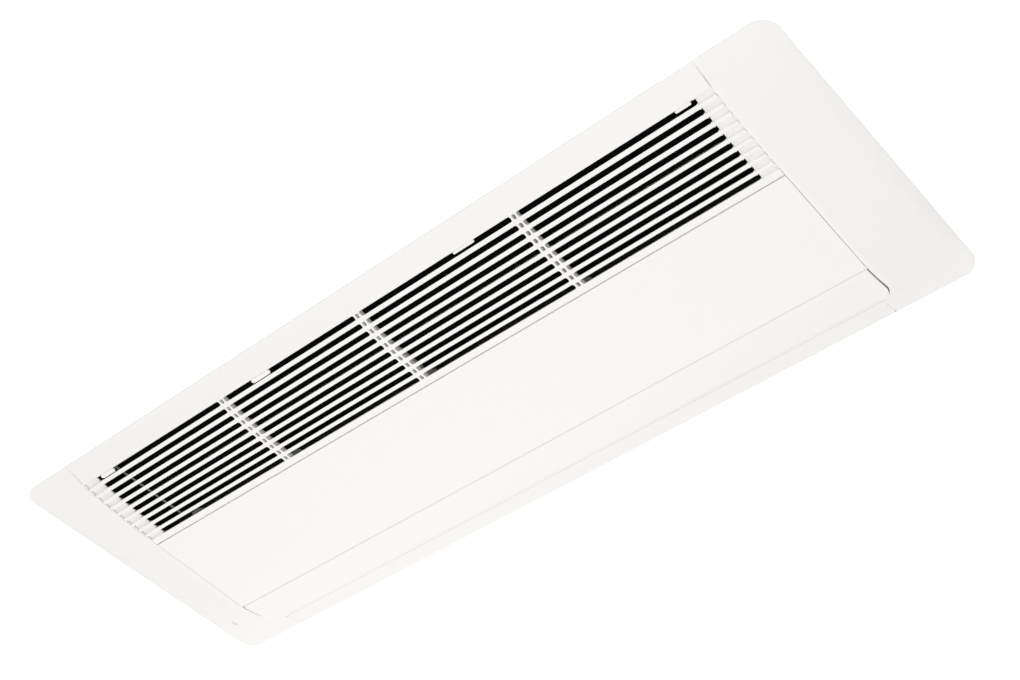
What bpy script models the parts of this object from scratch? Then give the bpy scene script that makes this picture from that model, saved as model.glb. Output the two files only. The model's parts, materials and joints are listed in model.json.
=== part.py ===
"""Large one-way ceiling cassette air conditioner: a shallow moulded panel below the ceiling and a
flat sheet-steel housing above it.

Panel coordinates: X along the panel from its middle, Y across it from the outer edge on the
intake side, Z up from the ceiling plane. The whole unit is shifted so that the world origin lies
on the underside of the first hanger bracket.
"""
import math

import bmesh
import bpy
from mathutils import Matrix, Vector

MM = 0.001

# Gaps between pieces
SEAT_GAP = 0.3 * MM
SEAM_GAP = 1.0 * MM
VANE_END_GAP = 3.0 * MM
PIN_CLEARANCE = 0.3 * MM

# Moulded panel
PANEL_LENGTH = 1420 * MM
PANEL_WIDTH = 500 * MM
CORNER_RADIUS = 28 * MM
RIM_DEPTH = 1.8 * MM
RIM_WIDTH = 4 * MM
SKIN_WALL = 2.2 * MM
FLANGE_WALL = 2.2 * MM

# End caps
CAP_LENGTH = 110 * MM
CAP_ROLL = 22 * MM
CAP_EDGE_SLOPE = 2.2
CAP_LAND = 5 * MM
CAP_TURN = 2.4 * MM
CAP_TONGUE = 22 * MM
RECESS_RADIUS = 30 * MM
STEP = 0.3 * MM

# Intake grille
FIRST_SLOT_Y = 44.6 * MM
SLOT_ROWS = 10
SLOT_PITCH = 14.9 * MM
SLOT_WIDTH = 8.8 * MM
SLOT_END_LAND = 27 * MM
SLOT_BAYS = 4
SLOT_CORNER_RADIUS = 2.6 * MM
SLOT_NEAR_LEAN = 0.17
SLOT_END_LEAN = 0.9
SLAT_BACK_WIDTH = 1.8 * MM
DIVIDER_WIDTH = 11 * MM
WINDOW_WIDTH = 5 * MM
WINDOW_MARGIN = 0.8 * MM
RIB_DEPTH = 10 * MM
END_RIB_WALL = 3 * MM
END_SKIN = 3.4 * MM
FLUTE_LAND = 4 * MM
FLUTE_RADIUS = 8.0 * MM
FLUTE_DEPTH = 1.9 * MM
HINGE_LAND = 13.4 * MM
GRILLE_HINGE_RADIUS = 3.0 * MM
GRILLE_PIN_RADIUS = 1.5 * MM

# Latch tabs in the first slot: bay edge (0 is the left end of the field), distance from it along X,
# length, and width across the slot
LATCHES = (
    (0, 27 * MM, 30 * MM, 7.2 * MM),
    (1, 83.5 * MM, 37 * MM, 7.2 * MM),
    (3, -94.5 * MM, 37 * MM, 4.0 * MM),
    (4, -18 * MM, 24 * MM, 4.0 * MM),
)
LATCH_DEPTH = 3 * MM

# Rounded hook tongues under the base frame, over the hinge edge of the grille: bay edge, and
# distance from it along X
HOOKS = ((0, 64 * MM), (1, 1.5 * MM), (2, -8 * MM), (3, -9.5 * MM))
HOOK_WIDTH = 24 * MM
HOOK_REACH = 7.5 * MM
HOOK_THICKNESS = 2.5 * MM

# Closed middle strip, air vane and outlet lip
STRIP_SHOULDER = 35 * MM
VANE_WIDTH = 75 * MM
VANE_THICKNESS = 5 * MM
VANE_ROLL = 9 * MM
VANE_CROWN = 4.5 * MM
VANE_HINGE_RADIUS = 3.5 * MM
VANE_CORNER_RADIUS = 27 * MM
VANE_PIN_RADIUS = 2.0 * MM
RECESS_WIDTH = 2 * MM
LIP_WIDTH = 38 * MM
PIN_ROOT = 6 * MM
PIN_OVERHANG = 1.5 * MM

# Base frame that lies against the ceiling
FRAME_THICKNESS = 3 * MM
FRAME_INSET_X = 36 * MM
FRAME_INSET_Y = 24 * MM
FRAME_CORNER_RADIUS = 50 * MM
FRAME_SLOT_MARGIN = 13 * MM
INTAKE_MARGIN = 7.2 * MM
HINGE_COVER = 8.5 * MM
OUTLET_MARGIN = 11 * MM

# Housing above the ceiling
HOUSING_MARGIN = 17 * MM
HOUSING_INSET_Y = 25 * MM
HOUSING_HEIGHT = 132 * MM
SHEET = 1.0 * MM
TOP_RIB_HEIGHT = 2.5 * MM
TOP_RIB_WIDTH = 26 * MM
TOP_RIB_INSET = 70 * MM
FOAM_END_WALL = 16 * MM
INTAKE_CHAMBER_HEIGHT = 30 * MM
DUCT_HEIGHT = 80 * MM
DUCT_WALL = 3 * MM

# Air filters
FILTER_LIFT = 8 * MM
FILTER_THICKNESS = 6 * MM
FILTER_RAIL = 3.5 * MM
FILTER_COVER = 8 * MM
FILTER_JOINT_X = -20 * MM
FILTER_END_GAP = 26 * MM
FILTER_RIB = 2.5 * MM
FILTER_RIB_PITCH = 95 * MM
MESH_LIFT = 1.0 * MM
MESH_THICKNESS = 1.2 * MM

# Hanger brackets
BRACKET_THICKNESS = 2 * MM
BRACKET_WIDTH = 60 * MM
BRACKET_REACH = 38 * MM
BRACKET_LEG = 40 * MM
BRACKET_HEIGHT = 62 * MM
BRACKET_INSET = 80 * MM
HANGER_SLOT_WIDTH = 12 * MM
HANGER_SLOT_LENGTH = 26 * MM
HANGER_SLOT_OFFSET = 23 * MM
ORIGIN_OFFSET = 5 * MM

# Connections on the right-hand end wall: offset from the housing's middle, and height
GAS_PIPE_RADIUS = 6.35 * MM
LIQUID_PIPE_RADIUS = 3.2 * MM
PIPE_STUB_LENGTH = 45 * MM
GAS_PIPE_PLACE = (-40 * MM, 90 * MM)
LIQUID_PIPE_PLACE = (0 * MM, 90 * MM)
NUT_LENGTH_SHARE = 2.4
NUT_RADIUS_SHARE = 1.9
DRAIN_RADIUS = 12.5 * MM
DRAIN_BEAD = 1.2 * MM
DRAIN_WALL = 2.0 * MM
DRAIN_LENGTH = 40 * MM
DRAIN_PLACE = (-88 * MM, 34 * MM)
COVER_PLACE = (20 * MM, 14 * MM)
COVER_SIZE = (90 * MM, 42 * MM)
COVER_THICKNESS = 1.5 * MM
COVER_CORNER_RADIUS = 5 * MM
GLAND_PLACE = (-22 * MM, 34 * MM)
GLAND_RADIUS = 10 * MM
GLAND_BORE_RADIUS = 5 * MM
GLAND_LENGTH = 14 * MM

# Small oval lens in the left end cap: insets from the end and from the outlet side, half-sizes
LENS_INSET_X = 46 * MM
LENS_INSET_Y = 78 * MM
LENS_HALF_LENGTH = 6 * MM
LENS_RADIUS = 2.4 * MM
LENS_RECESS = 0.3 * MM
LENS_THICKNESS = 1.5 * MM

# Places that follow from the sizes above
HALF_LENGTH = PANEL_LENGTH / 2
SEAM_X = HALF_LENGTH - CAP_LENGTH
PIECE_HALF = SEAM_X - SEAM_GAP / 2
SLOT_FIELD_HALF = SEAM_X - SLOT_END_LAND
BAY_PITCH = 2 * SLOT_FIELD_HALF / SLOT_BAYS
FIELD_START_Y = FIRST_SLOT_Y - SLOT_WIDTH / 2
FIELD_END_Y = FIELD_START_Y + (SLOT_ROWS - 1) * SLOT_PITCH + SLOT_WIDTH
SLOT_FAR_LEAN = SLOT_NEAR_LEAN + (SLOT_PITCH - SLOT_WIDTH - SLAT_BACK_WIDTH) / RIB_DEPTH
GRILLE_WIDTH = FIELD_END_Y + HINGE_LAND
LIP_START_Y = PANEL_WIDTH - LIP_WIDTH
VANE_END_Y = LIP_START_Y - RECESS_WIDTH
VANE_START_Y = VANE_END_Y - VANE_WIDTH
TONGUE_X = SEAM_X - CAP_TONGUE
FRAME_OPENING_HALF = SLOT_FIELD_HALF + FRAME_SLOT_MARGIN
INTAKE_Y = (FIELD_START_Y - INTAKE_MARGIN, GRILLE_WIDTH - HINGE_COVER)
CHAMBER_END_Y = INTAKE_Y[1] + FILTER_COVER
OUTLET_Y = (VANE_START_Y + OUTLET_MARGIN, LIP_START_Y)
SEAT_Z = -FRAME_THICKNESS - SEAT_GAP
HOUSING_HALF = SLOT_FIELD_HALF + HOUSING_MARGIN
HOUSING_Y = (HOUSING_INSET_Y, PANEL_WIDTH - HOUSING_INSET_Y)
HOUSING_MIDDLE_Y = PANEL_WIDTH / 2
FOAM_HALF = HOUSING_HALF - FOAM_END_WALL
FILTER_ENDS_X = (-FOAM_HALF + FILTER_END_GAP, FOAM_HALF - SEAT_GAP)
BRACKET_Y = (HOUSING_Y[0] + BRACKET_INSET, HOUSING_Y[1] - BRACKET_INSET)
HANGER_POINT = Vector((-HOUSING_HALF - SHEET - ORIGIN_OFFSET, BRACKET_Y[0], BRACKET_HEIGHT))

# Depth of the panel's face below the ceiling, across its width
FACE_PROFILE = (
    (0 * MM, RIM_DEPTH),
    (20 * MM, 6.2 * MM),
    (FIELD_START_Y, 12.3 * MM),
    (60 * MM, 16.6 * MM),
    (96 * MM, 21.2 * MM),
    (145 * MM, 25.0 * MM),
    (GRILLE_WIDTH, 26.8 * MM),
    ((GRILLE_WIDTH + VANE_START_Y) / 2, 30.2 * MM),
    (VANE_START_Y - STRIP_SHOULDER, 32.6 * MM),
    (VANE_START_Y, 33.4 * MM),
    (VANE_START_Y + VANE_WIDTH / 2, 27.1 * MM),
    (VANE_END_Y - VANE_THICKNESS, 17.6 * MM),
    (LIP_START_Y + 4 * MM, 13.4 * MM),
    (PANEL_WIDTH, RIM_DEPTH),
)


def face_depth(y):
    """Depth of the panel's face below the ceiling at y: a smooth curve through the profile."""
    last = len(FACE_PROFILE) - 1
    index = 0
    while index < last - 1 and y > FACE_PROFILE[index + 1][0]:
        index += 1

    def slope(i):
        low = FACE_PROFILE[max(i - 1, 0)]
        high = FACE_PROFILE[min(i + 1, last)]
        return (high[1] - low[1]) / (high[0] - low[0])

    y0, depth0 = FACE_PROFILE[index]
    y1, depth1 = FACE_PROFILE[index + 1]
    span = y1 - y0
    t = (y - y0) / span
    return (
        depth0 * (2 * t ** 3 - 3 * t ** 2 + 1)
        + slope(index) * span * (t ** 3 - 2 * t ** 2 + t)
        + depth1 * (3 * t ** 2 - 2 * t ** 3)
        + slope(index + 1) * span * (t ** 3 - t ** 2)
    )


def hinge_place(y, radius):
    """Pivot of a round hinge edge that is tangent to the panel's face at y."""
    return (y, -face_depth(y) + radius)


GRILLE_PIVOT = hinge_place(GRILLE_WIDTH - GRILLE_HINGE_RADIUS, GRILLE_HINGE_RADIUS)
VANE_PIVOT = hinge_place(VANE_START_Y + VANE_HINGE_RADIUS, VANE_HINGE_RADIUS)


def clear_scene():
    """Remove every object and collection that the file opens with."""
    for obj in list(bpy.data.objects):
        bpy.data.objects.remove(obj)
    for collection in list(bpy.data.collections):
        bpy.data.collections.remove(collection)


def new_collection(name):
    collection = bpy.data.collections.new(name)
    bpy.context.scene.collection.children.link(collection)
    return collection


def make_material(name, color, roughness, metallic=0.0):
    material = bpy.data.materials.new(name)
    material.use_nodes = True
    shader = material.node_tree.nodes["Principled BSDF"]
    shader.inputs["Base Color"].default_value = (*color, 1.0)
    shader.inputs["Roughness"].default_value = roughness
    shader.inputs["Metallic"].default_value = metallic
    return material


clear_scene()
PARTS = new_collection("ceiling_cassette")
CUTTERS = new_collection("cutters")

PANEL_PLASTIC = make_material("panel_plastic", (0.87, 0.86, 0.84), 0.45)
DARK_PLASTIC = make_material("dark_plastic", (0.03, 0.03, 0.03), 0.6)
GREY_PLASTIC = make_material("grey_plastic", (0.40, 0.40, 0.40), 0.5)
LENS_PLASTIC = make_material("lens_plastic", (0.60, 0.60, 0.59), 0.3)
FILTER_MESH = make_material("filter_mesh", (0.02, 0.02, 0.022), 0.8)
SHEET_STEEL = make_material("sheet_steel", (0.58, 0.59, 0.60), 0.4, 0.9)
FOAM = make_material("foam", (0.04, 0.04, 0.04), 0.9)
COPPER = make_material("copper", (0.72, 0.38, 0.22), 0.35, 1.0)
BRASS = make_material("brass", (0.70, 0.55, 0.26), 0.35, 1.0)


def new_empty(name, place, parent=None):
    empty = bpy.data.objects.new(name, None)
    empty.location = place
    empty.parent = parent
    PARTS.objects.link(empty)
    return empty


UNIT = new_empty("unit_origin", -HANGER_POINT)
GRILLE_HINGE = new_empty("grille_hinge", (0, *GRILLE_PIVOT), UNIT)
VANE_HINGE = new_empty("vane_hinge", (0, *VANE_PIVOT), UNIT)


def place_under(obj, parent):
    """Parent an object whose mesh is in panel coordinates to the unit or to a hinge."""
    obj.parent = parent
    if parent is not UNIT:
        obj.location = -parent.location


def add_piece(name, mesh, material, parent=UNIT):
    mesh.name = name
    mesh.materials.clear()
    mesh.materials.append(material)
    piece = bpy.data.objects.new(name, mesh)
    PARTS.objects.link(piece)
    place_under(piece, parent)
    return piece


def apply_boolean(piece, name, mesh, operation="DIFFERENCE"):
    """Cut or join a mesh in panel coordinates, kept as a hidden cutter object."""
    cutter = bpy.data.objects.new(name, mesh)
    CUTTERS.objects.link(cutter)
    place_under(cutter, piece.parent)
    cutter.hide_render = True
    cutter.display_type = "WIRE"
    modifier = piece.modifiers.new(name, "BOOLEAN")
    modifier.operation = operation
    modifier.solver = "EXACT"
    modifier.object = cutter


def spread(low, high, count):
    """Evenly spread values from low to high, both included."""
    return [low + (high - low) * i / (count - 1) for i in range(count)]


def arc(centre, radius, start_deg, end_deg, steps):
    """Points along an arc, both ends included."""
    points = []
    for angle in spread(math.radians(start_deg), math.radians(end_deg), steps + 1):
        points.append((centre[0] + radius * math.cos(angle), centre[1] + radius * math.sin(angle)))
    return points


def rounded_rectangle(low, high, radius, steps=4):
    """Outline of a rectangle with rounded corners."""
    points = arc((high[0] - radius, high[1] - radius), radius, 0, 90, steps)
    points += arc((low[0] + radius, high[1] - radius), radius, 90, 180, steps)
    points += arc((low[0] + radius, low[1] + radius), radius, 180, 270, steps)
    points += arc((high[0] - radius, low[1] + radius), radius, 270, 360, steps)
    return points


def mesh_from_bmesh(name, bm):
    bmesh.ops.recalc_face_normals(bm, faces=bm.faces[:])
    mesh = bpy.data.meshes.new(name)
    bm.to_mesh(mesh)
    bm.free()
    return mesh


def add_box_to(bm, low, high):
    """Add a box between two corners and return its vertices."""
    low = Vector(low)
    size = Vector(high) - low
    matrix = Matrix.Translation(low + size / 2) @ Matrix.Diagonal((*size, 1.0))
    return bmesh.ops.create_cube(bm, size=1.0, matrix=matrix)["verts"]


def round_uprights(bm, verts, radius, segments):
    """Round the upright edges of one box or prism."""
    height = max(v.co.z for v in verts) - min(v.co.z for v in verts)
    edges = {edge for vert in verts for edge in vert.link_edges}
    uprights = [e for e in edges if abs(e.verts[0].co.z - e.verts[1].co.z) > height / 2]
    bmesh.ops.bevel(
        bm, geom=sorted(uprights, key=lambda e: e.index), offset=radius, segments=segments,
        profile=0.5, affect="EDGES")


def box_mesh(name, low, high, corner_radius=0.0, corner_segments=6):
    bm = bmesh.new()
    verts = add_box_to(bm, low, high)
    if corner_radius:
        bm.edges.index_update()
        round_uprights(bm, verts, corner_radius, corner_segments)
    return mesh_from_bmesh(name, bm)


def bar_mesh(name, start, side, length, radius, sides=24):
    """A round or hexagonal bar along X, towards +X where side is 1 and -X where it is -1."""
    bm = bmesh.new()
    middle = Vector(start) + Vector((side * length / 2, 0, 0))
    turn = Matrix.Rotation(math.pi / 2, 4, "Y")
    bmesh.ops.create_cone(
        bm, cap_ends=True, segments=sides, radius1=radius, radius2=radius, depth=length,
        matrix=Matrix.Translation(middle) @ turn)
    return mesh_from_bmesh(name, bm)


AXIS_TURNS = {
    "X": ((0, 0, 1), (1, 0, 0), (0, 1, 0)),
    "Y": ((1, 0, 0), (0, 0, -1), (0, 1, 0)),
    "Z": ((1, 0, 0), (0, 1, 0), (0, 0, 1)),
}


def outline_mesh(name, outline, start, end, axis="X"):
    """Extrude a flat outline along an axis. Its points are (y, z), (x, z) or (x, y)."""
    curve = bpy.data.curves.new(name, "CURVE")
    curve.dimensions = "2D"
    curve.fill_mode = "BOTH"
    curve.extrude = (end - start) / 2
    spline = curve.splines.new("POLY")
    spline.points.add(len(outline) - 1)
    for point, (u, v) in zip(spline.points, outline):
        point.co = (u, v, 0.0, 1.0)
    spline.use_cyclic_u = True
    source = bpy.data.objects.new(name, curve)
    CUTTERS.objects.link(source)
    depsgraph = bpy.context.evaluated_depsgraph_get()
    flat = bpy.data.meshes.new_from_object(source.evaluated_get(depsgraph))
    bpy.data.objects.remove(source)
    bm = bmesh.new()
    bm.from_mesh(flat)
    bpy.data.meshes.remove(flat)
    bmesh.ops.remove_doubles(bm, verts=bm.verts[:], dist=0.001 * MM)
    turn = Matrix(AXIS_TURNS[axis]).to_4x4()
    along = Vector(1.0 if axis == letter else 0.0 for letter in "XYZ")
    move = Matrix.Translation(along * (start + end) / 2)
    bmesh.ops.transform(bm, matrix=move @ turn, verts=bm.verts[:])
    return mesh_from_bmesh(name, bm)


def turned_mesh(name, profile, start, segments=24):
    """Turn a closed profile of (distance along X, radius) about an axis along X."""
    bm = bmesh.new()
    centre = Vector(start)
    verts = [bm.verts.new(centre + Vector((x, 0.0, radius))) for x, radius in profile]
    edges = [bm.edges.new(pair) for pair in zip(verts, verts[1:] + verts[:1])]
    bmesh.ops.spin(
        bm, geom=verts + edges, cent=centre, axis=(1.0, 0.0, 0.0), angle=2 * math.pi,
        steps=segments, use_merge=True)
    bmesh.ops.remove_doubles(bm, verts=bm.verts[:], dist=0.01 * MM)
    return mesh_from_bmesh(name, bm)


def add_end_pins(piece, half_length, pivot, radius):
    """Join a hinge pin to each end of a moving piece, long enough to pass the caps' flanges."""
    pin_end = SEAM_X + SEAM_GAP / 2 + FLANGE_WALL + PIN_OVERHANG
    start_x = half_length - PIN_ROOT
    for side, label in ((-1, "left"), (1, "right")):
        name = f"{piece.name}_pin_{label}"
        pin = bar_mesh(name, (side * start_x, *pivot), side, pin_end - start_x, radius, 16)
        apply_boolean(piece, name, pin, "UNION")


def slot_middle(row):
    return FIRST_SLOT_Y + row * SLOT_PITCH


def cap_end_x(y):
    """Outer end of a cap at y, with the panel's rounded corners."""
    inset = max(CORNER_RADIUS - y, y - (PANEL_WIDTH - CORNER_RADIUS), 0.0)
    return HALF_LENGTH - CORNER_RADIUS + math.sqrt(max(CORNER_RADIUS ** 2 - inset ** 2, 0.0))


def recess_centre():
    return (SEAM_X - RECESS_RADIUS, LIP_START_Y - RECESS_RADIUS)


def recess_end_angle():
    """Angle at which the rounded end of the outlet recess meets the lip's seam."""
    return math.acos((TONGUE_X - recess_centre()[0]) / RECESS_RADIUS)


def cap_inner_x(y):
    """Inner edge of a cap at y: the seam, then the recess's round corner, then the lip's seam."""
    centre_x, centre_y = recess_centre()
    if y <= centre_y:
        return SEAM_X + SEAM_GAP / 2
    rise = (y - centre_y) / RECESS_RADIUS
    if rise >= math.sin(recess_end_angle()) - 1e-6:
        return TONGUE_X + SEAM_GAP / 2
    return centre_x + RECESS_RADIUS * math.sqrt(1 - rise ** 2) + SEAM_GAP / 2


def cap_flange_x(y):
    """Inner side of the flange that runs along a cap's inner edge."""
    inner = cap_inner_x(y)
    lean = (inner - SEAM_GAP / 2 - recess_centre()[0]) / RECESS_RADIUS
    return inner + FLANGE_WALL / (max(lean, 0.4) if recess_centre()[1] < y < LIP_START_Y else 1.0)


def cap_rise(share):
    """Share of the full depth at a share of the cap's length, from its end to its inner edge.

    The cap rolls over near its end, runs on in a plane, and turns flat beside the seam.
    """
    roll = CAP_ROLL / CAP_LENGTH
    land = 1 - CAP_LAND / CAP_LENGTH
    turn = CAP_TURN / CAP_LENGTH
    slope = 1 / (land - roll + roll * (1 + CAP_EDGE_SLOPE) / 2)
    if share < roll:
        return slope * share * (CAP_EDGE_SLOPE - (CAP_EDGE_SLOPE - 1) * share / (2 * roll))
    if share < land - turn:
        return 1 - slope * (land - share)
    if share < land + turn:
        return 1 - slope * (land + turn - share) ** 2 / (4 * turn)
    return 1.0


def cap_depth(x, y):
    """Depth of a cap's face: the panel's face, brought up to the rim at the end."""
    share = (cap_end_x(y) - x) / (cap_end_x(y) - cap_inner_x(y))
    return RIM_DEPTH + (face_depth(y) - RIM_DEPTH) * cap_rise(max(share, 0.0))


def cap_columns():
    """Columns across the skin of a cap: dense where it rolls over and where it turns flat."""
    roll = CAP_ROLL / CAP_LENGTH
    land = 1 - CAP_LAND / CAP_LENGTH
    turn = CAP_TURN / CAP_LENGTH
    return spread(0.0, roll, 5) + [(roll + land) / 2, land - turn, land, 1.0]


def cap_rows():
    """Rows across a cap: dense at its corners and round the recess."""
    corner = [CORNER_RADIUS * (1 - math.cos(math.pi / 12 * i)) for i in range(7)]
    corner[2] = RIM_WIDTH
    corner.insert(3, RIM_WIDTH + STEP)
    centre_y = recess_centre()[1]
    middle = spread(CORNER_RADIUS, centre_y, 17)[1:-1]
    recess = [centre_y + RECESS_RADIUS * math.sin(recess_end_angle() * i / 6) for i in range(7)]
    return corner + middle + recess + [PANEL_WIDTH - y for y in reversed(corner)]


def make_end_cap(name, side):
    """Pillow-shaped end of the panel: a dished shell with a flat rim and a flange at its seam."""
    rows = cap_rows()
    shares = cap_columns()
    columns = 2 + len(shares) + 2
    bm = bmesh.new()
    bmesh.ops.create_grid(bm, x_segments=columns - 1, y_segments=len(rows) - 1, size=0.5)
    inner_z = bm.verts.layers.float.new("inner_z")
    for vert in bm.verts:
        column = round((vert.co.x + 0.5) * (columns - 1))
        y = rows[round((vert.co.y + 0.5) * (len(rows) - 1))]
        end_x = cap_end_x(y)
        flange_x = cap_flange_x(y)
        skin_start = end_x - RIM_WIDTH - STEP
        on_rim = column < 2 or y <= RIM_WIDTH or y >= PANEL_WIDTH - RIM_WIDTH
        in_flange = column >= columns - 2
        if column < 2:
            x = end_x - column * RIM_WIDTH
        elif in_flange:
            x = flange_x if column == columns - 2 else cap_inner_x(y)
        else:
            x = skin_start + (flange_x + STEP - skin_start) * shares[column - 2]
        depth = cap_depth(x, y)
        vert.co = (side * x, y, -depth)
        if on_rim:
            vert[inner_z] = 0.0
        elif in_flange:
            vert[inner_z] = max(SEAT_Z, -depth + SKIN_WALL)
        else:
            vert[inner_z] = min(-depth + SKIN_WALL, 0.0)
    for item in bmesh.ops.extrude_face_region(bm, geom=bm.faces[:])["geom"]:
        if isinstance(item, bmesh.types.BMVert):
            item.co.z = item[inner_z]
    cap = add_piece(name, mesh_from_bmesh(name, bm), PANEL_PLASTIC)
    for label, pivot, radius in (("vane", VANE_PIVOT, VANE_PIN_RADIUS),
                                 ("grille", GRILLE_PIVOT, GRILLE_PIN_RADIUS)):
        bore_name = f"{name}_{label}_bore"
        bore = bar_mesh(bore_name, (side * (SEAM_X - FLANGE_WALL), *pivot), side,
                        FLANGE_WALL * 3, radius + PIN_CLEARANCE, 16)
        apply_boolean(cap, bore_name, bore)
    return cap


def lens_mesh(name, side, low_offset, high_offset, growth):
    """Oval prism whose ends follow the cap's face, at two heights above it."""
    middle_x = side * (HALF_LENGTH - LENS_INSET_X)
    middle_y = PANEL_WIDTH - LENS_INSET_Y
    radius = LENS_RADIUS + growth
    straight = LENS_HALF_LENGTH - LENS_RADIUS
    outline = arc((middle_x, middle_y + straight), radius, 0, 180, 6)
    outline += arc((middle_x, middle_y - straight), radius, 180, 360, 6)
    mesh = outline_mesh(name, outline, -1 * MM, 1 * MM, "Z")
    for vert in mesh.vertices:
        offset = low_offset if vert.co.z < 0 else high_offset
        vert.co.z = -cap_depth(abs(vert.co.x), vert.co.y) + offset
    return mesh


def make_lens(cap):
    """Oval lens, set a little back in its own hole in the left end cap."""
    hole = lens_mesh("lens_hole", -1, -2 * SKIN_WALL, 2 * SKIN_WALL, SEAT_GAP)
    apply_boolean(cap, "lens_hole", hole)
    lens = lens_mesh("indicator_lens", -1, LENS_RECESS, LENS_RECESS + LENS_THICKNESS, 0.0)
    add_piece("indicator_lens", lens, LENS_PLASTIC)


def grille_outline():
    """Cross-section of the grille: thin outer strip, deep slotted field, round hinge edge."""
    rib_start = FIELD_START_Y - SLOT_WIDTH / 2
    slat_middles = [slot_middle(row) + SLOT_PITCH / 2 for row in range(SLOT_ROWS - 1)]
    strip_rows = spread(RIM_WIDTH, rib_start - RIM_WIDTH, 5)
    last_land = FIELD_END_Y + HINGE_LAND / 4
    points = [(0.0, 0.0), (0.0, -RIM_DEPTH)]
    for y in strip_rows + [rib_start] + slat_middles + [last_land]:
        points.append((y, -face_depth(y)))
    points += arc(GRILLE_PIVOT, GRILLE_HINGE_RADIUS, -90, 90, 8)
    back_y = GRILLE_PIVOT[0] - GRILLE_HINGE_RADIUS
    points.append((back_y, GRILLE_PIVOT[1] + GRILLE_HINGE_RADIUS))
    for y in reversed([rib_start] + slat_middles + [back_y]):
        points.append((y, -face_depth(y) + RIB_DEPTH))
    for y in reversed(strip_rows[1:]):
        points.append((y, -face_depth(y) + SKIN_WALL))
    points.append((RIM_WIDTH, 0.0))
    return points


def slot_spans():
    """Start and end along X of the slots in each bay, between the dividers."""
    edges = [-SLOT_FIELD_HALF]
    for middle in divider_middles():
        edges += [middle - DIVIDER_WIDTH / 2, middle + DIVIDER_WIDTH / 2]
    edges.append(SLOT_FIELD_HALF)
    return list(zip(edges[0::2], edges[1::2]))


def bay_edge(number):
    """Place along X of an edge between bays, counted from the left end of the field."""
    return (number - SLOT_BAYS / 2) * BAY_PITCH


def divider_middles():
    return [bay_edge(number) for number in range(1, SLOT_BAYS)]


def add_slot_to(bm, row, span, width, radius, segments):
    """Add one leaning prism with rounded corners, right through the grille.

    At the ends of the field its end wall slopes too, so that each flute runs on into its slot.
    """
    middle = slot_middle(row)
    face_z = -face_depth(middle)
    low = (span[0], middle - width / 2, face_z - RIB_DEPTH / 4)
    high = (span[1], middle + width / 2, face_z + RIB_DEPTH * 1.25)
    verts = add_box_to(bm, low, high)
    for vert in verts:
        height = vert.co.z - face_z
        vert.co.y += height * (SLOT_FAR_LEAN if vert.co.y > middle else SLOT_NEAR_LEAN)
        if abs(vert.co.x) > SLOT_FIELD_HALF - SEAT_GAP:
            vert.co.x -= math.copysign(height * SLOT_END_LEAN, vert.co.x)
    bm.edges.index_update()
    round_uprights(bm, verts, radius, segments)


def slot_cutter_mesh():
    """All slots of the grille and the small windows in its dividers."""
    bm = bmesh.new()
    window = WINDOW_WIDTH / 2
    for row in range(SLOT_ROWS):
        for span in slot_spans():
            add_slot_to(bm, row, span, SLOT_WIDTH, SLOT_CORNER_RADIUS, 2)
        for middle in divider_middles():
            span = (middle - window, middle + window)
            add_slot_to(bm, row, span, SLOT_WIDTH - WINDOW_MARGIN, window / 2, 1)
    return mesh_from_bmesh("grille_slots", bm)


def flute_outline():
    """Scalloped outline below the grille's face: one shallow flute in line with each slot."""
    points = []
    half_angle = math.degrees(math.acos(1 - FLUTE_DEPTH / FLUTE_RADIUS)) + 3
    for row in range(SLOT_ROWS):
        y = slot_middle(row)
        rise = face_depth(y + MM) - face_depth(y - MM)
        normal = Vector((rise, 2 * MM)).normalized()
        centre = Vector((y, -face_depth(y))) - normal * (FLUTE_RADIUS - FLUTE_DEPTH)
        middle = math.degrees(math.atan2(normal.y, normal.x))
        points += arc(centre, FLUTE_RADIUS, middle + half_angle, middle - half_angle, 8)
    floor = -2 * face_depth(GRILLE_WIDTH)
    return points + [(points[-1][0], floor), (points[0][0], floor)]


def end_relief_outline():
    """Space above the thin skin of the grille, beyond the ends of its slots."""
    start = FIELD_START_Y - SLOT_WIDTH
    end = GRILLE_PIVOT[0] - GRILLE_HINGE_RADIUS * 1.5
    points = [(y, -face_depth(y) + END_SKIN) for y in spread(start, end, 12)]
    return points + [(end, RIB_DEPTH), (start, RIB_DEPTH)]


def make_grille():
    """Slotted grille with deep leaning slats, fluted ends and a round hinge edge."""
    mesh = outline_mesh("intake_grille", grille_outline(), -PIECE_HALF, PIECE_HALF)
    grille = add_piece("intake_grille", mesh, PANEL_PLASTIC, GRILLE_HINGE)
    apply_boolean(grille, "grille_slots", slot_cutter_mesh())
    rib_end = SLOT_FIELD_HALF + END_RIB_WALL
    flute_start = SLOT_FIELD_HALF + FLUTE_LAND
    for side, label in ((-1, "left"), (1, "right")):
        for name, outline, start in ((f"grille_relief_{label}", end_relief_outline(), rib_end),
                                     (f"grille_flutes_{label}", flute_outline(), flute_start)):
            span = sorted((side * start, side * (PIECE_HALF + SEAM_GAP)))
            apply_boolean(grille, name, outline_mesh(name, outline, *span))
    add_end_pins(grille, PIECE_HALF, GRILLE_PIVOT, GRILLE_PIN_RADIUS)


def make_latch(number, edge, offset, length, width):
    """Latch tab with rounded ends that stands in the first slot of the grille."""
    name = f"grille_latch_{number}"
    x = bay_edge(edge) + offset
    near_y = FIELD_START_Y + SEAT_GAP
    face_z = -face_depth(slot_middle(0))
    bm = bmesh.new()
    verts = add_box_to(bm, (x - length / 2, near_y, face_z),
                       (x + length / 2, near_y + width, face_z + LATCH_DEPTH))
    for vert in verts:
        vert.co.y += SLOT_NEAR_LEAN * (vert.co.z - face_z)
    bm.edges.index_update()
    round_uprights(bm, verts, width * 0.45, 3)
    add_piece(name, mesh_from_bmesh(name, bm), PANEL_PLASTIC, GRILLE_HINGE)


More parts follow.
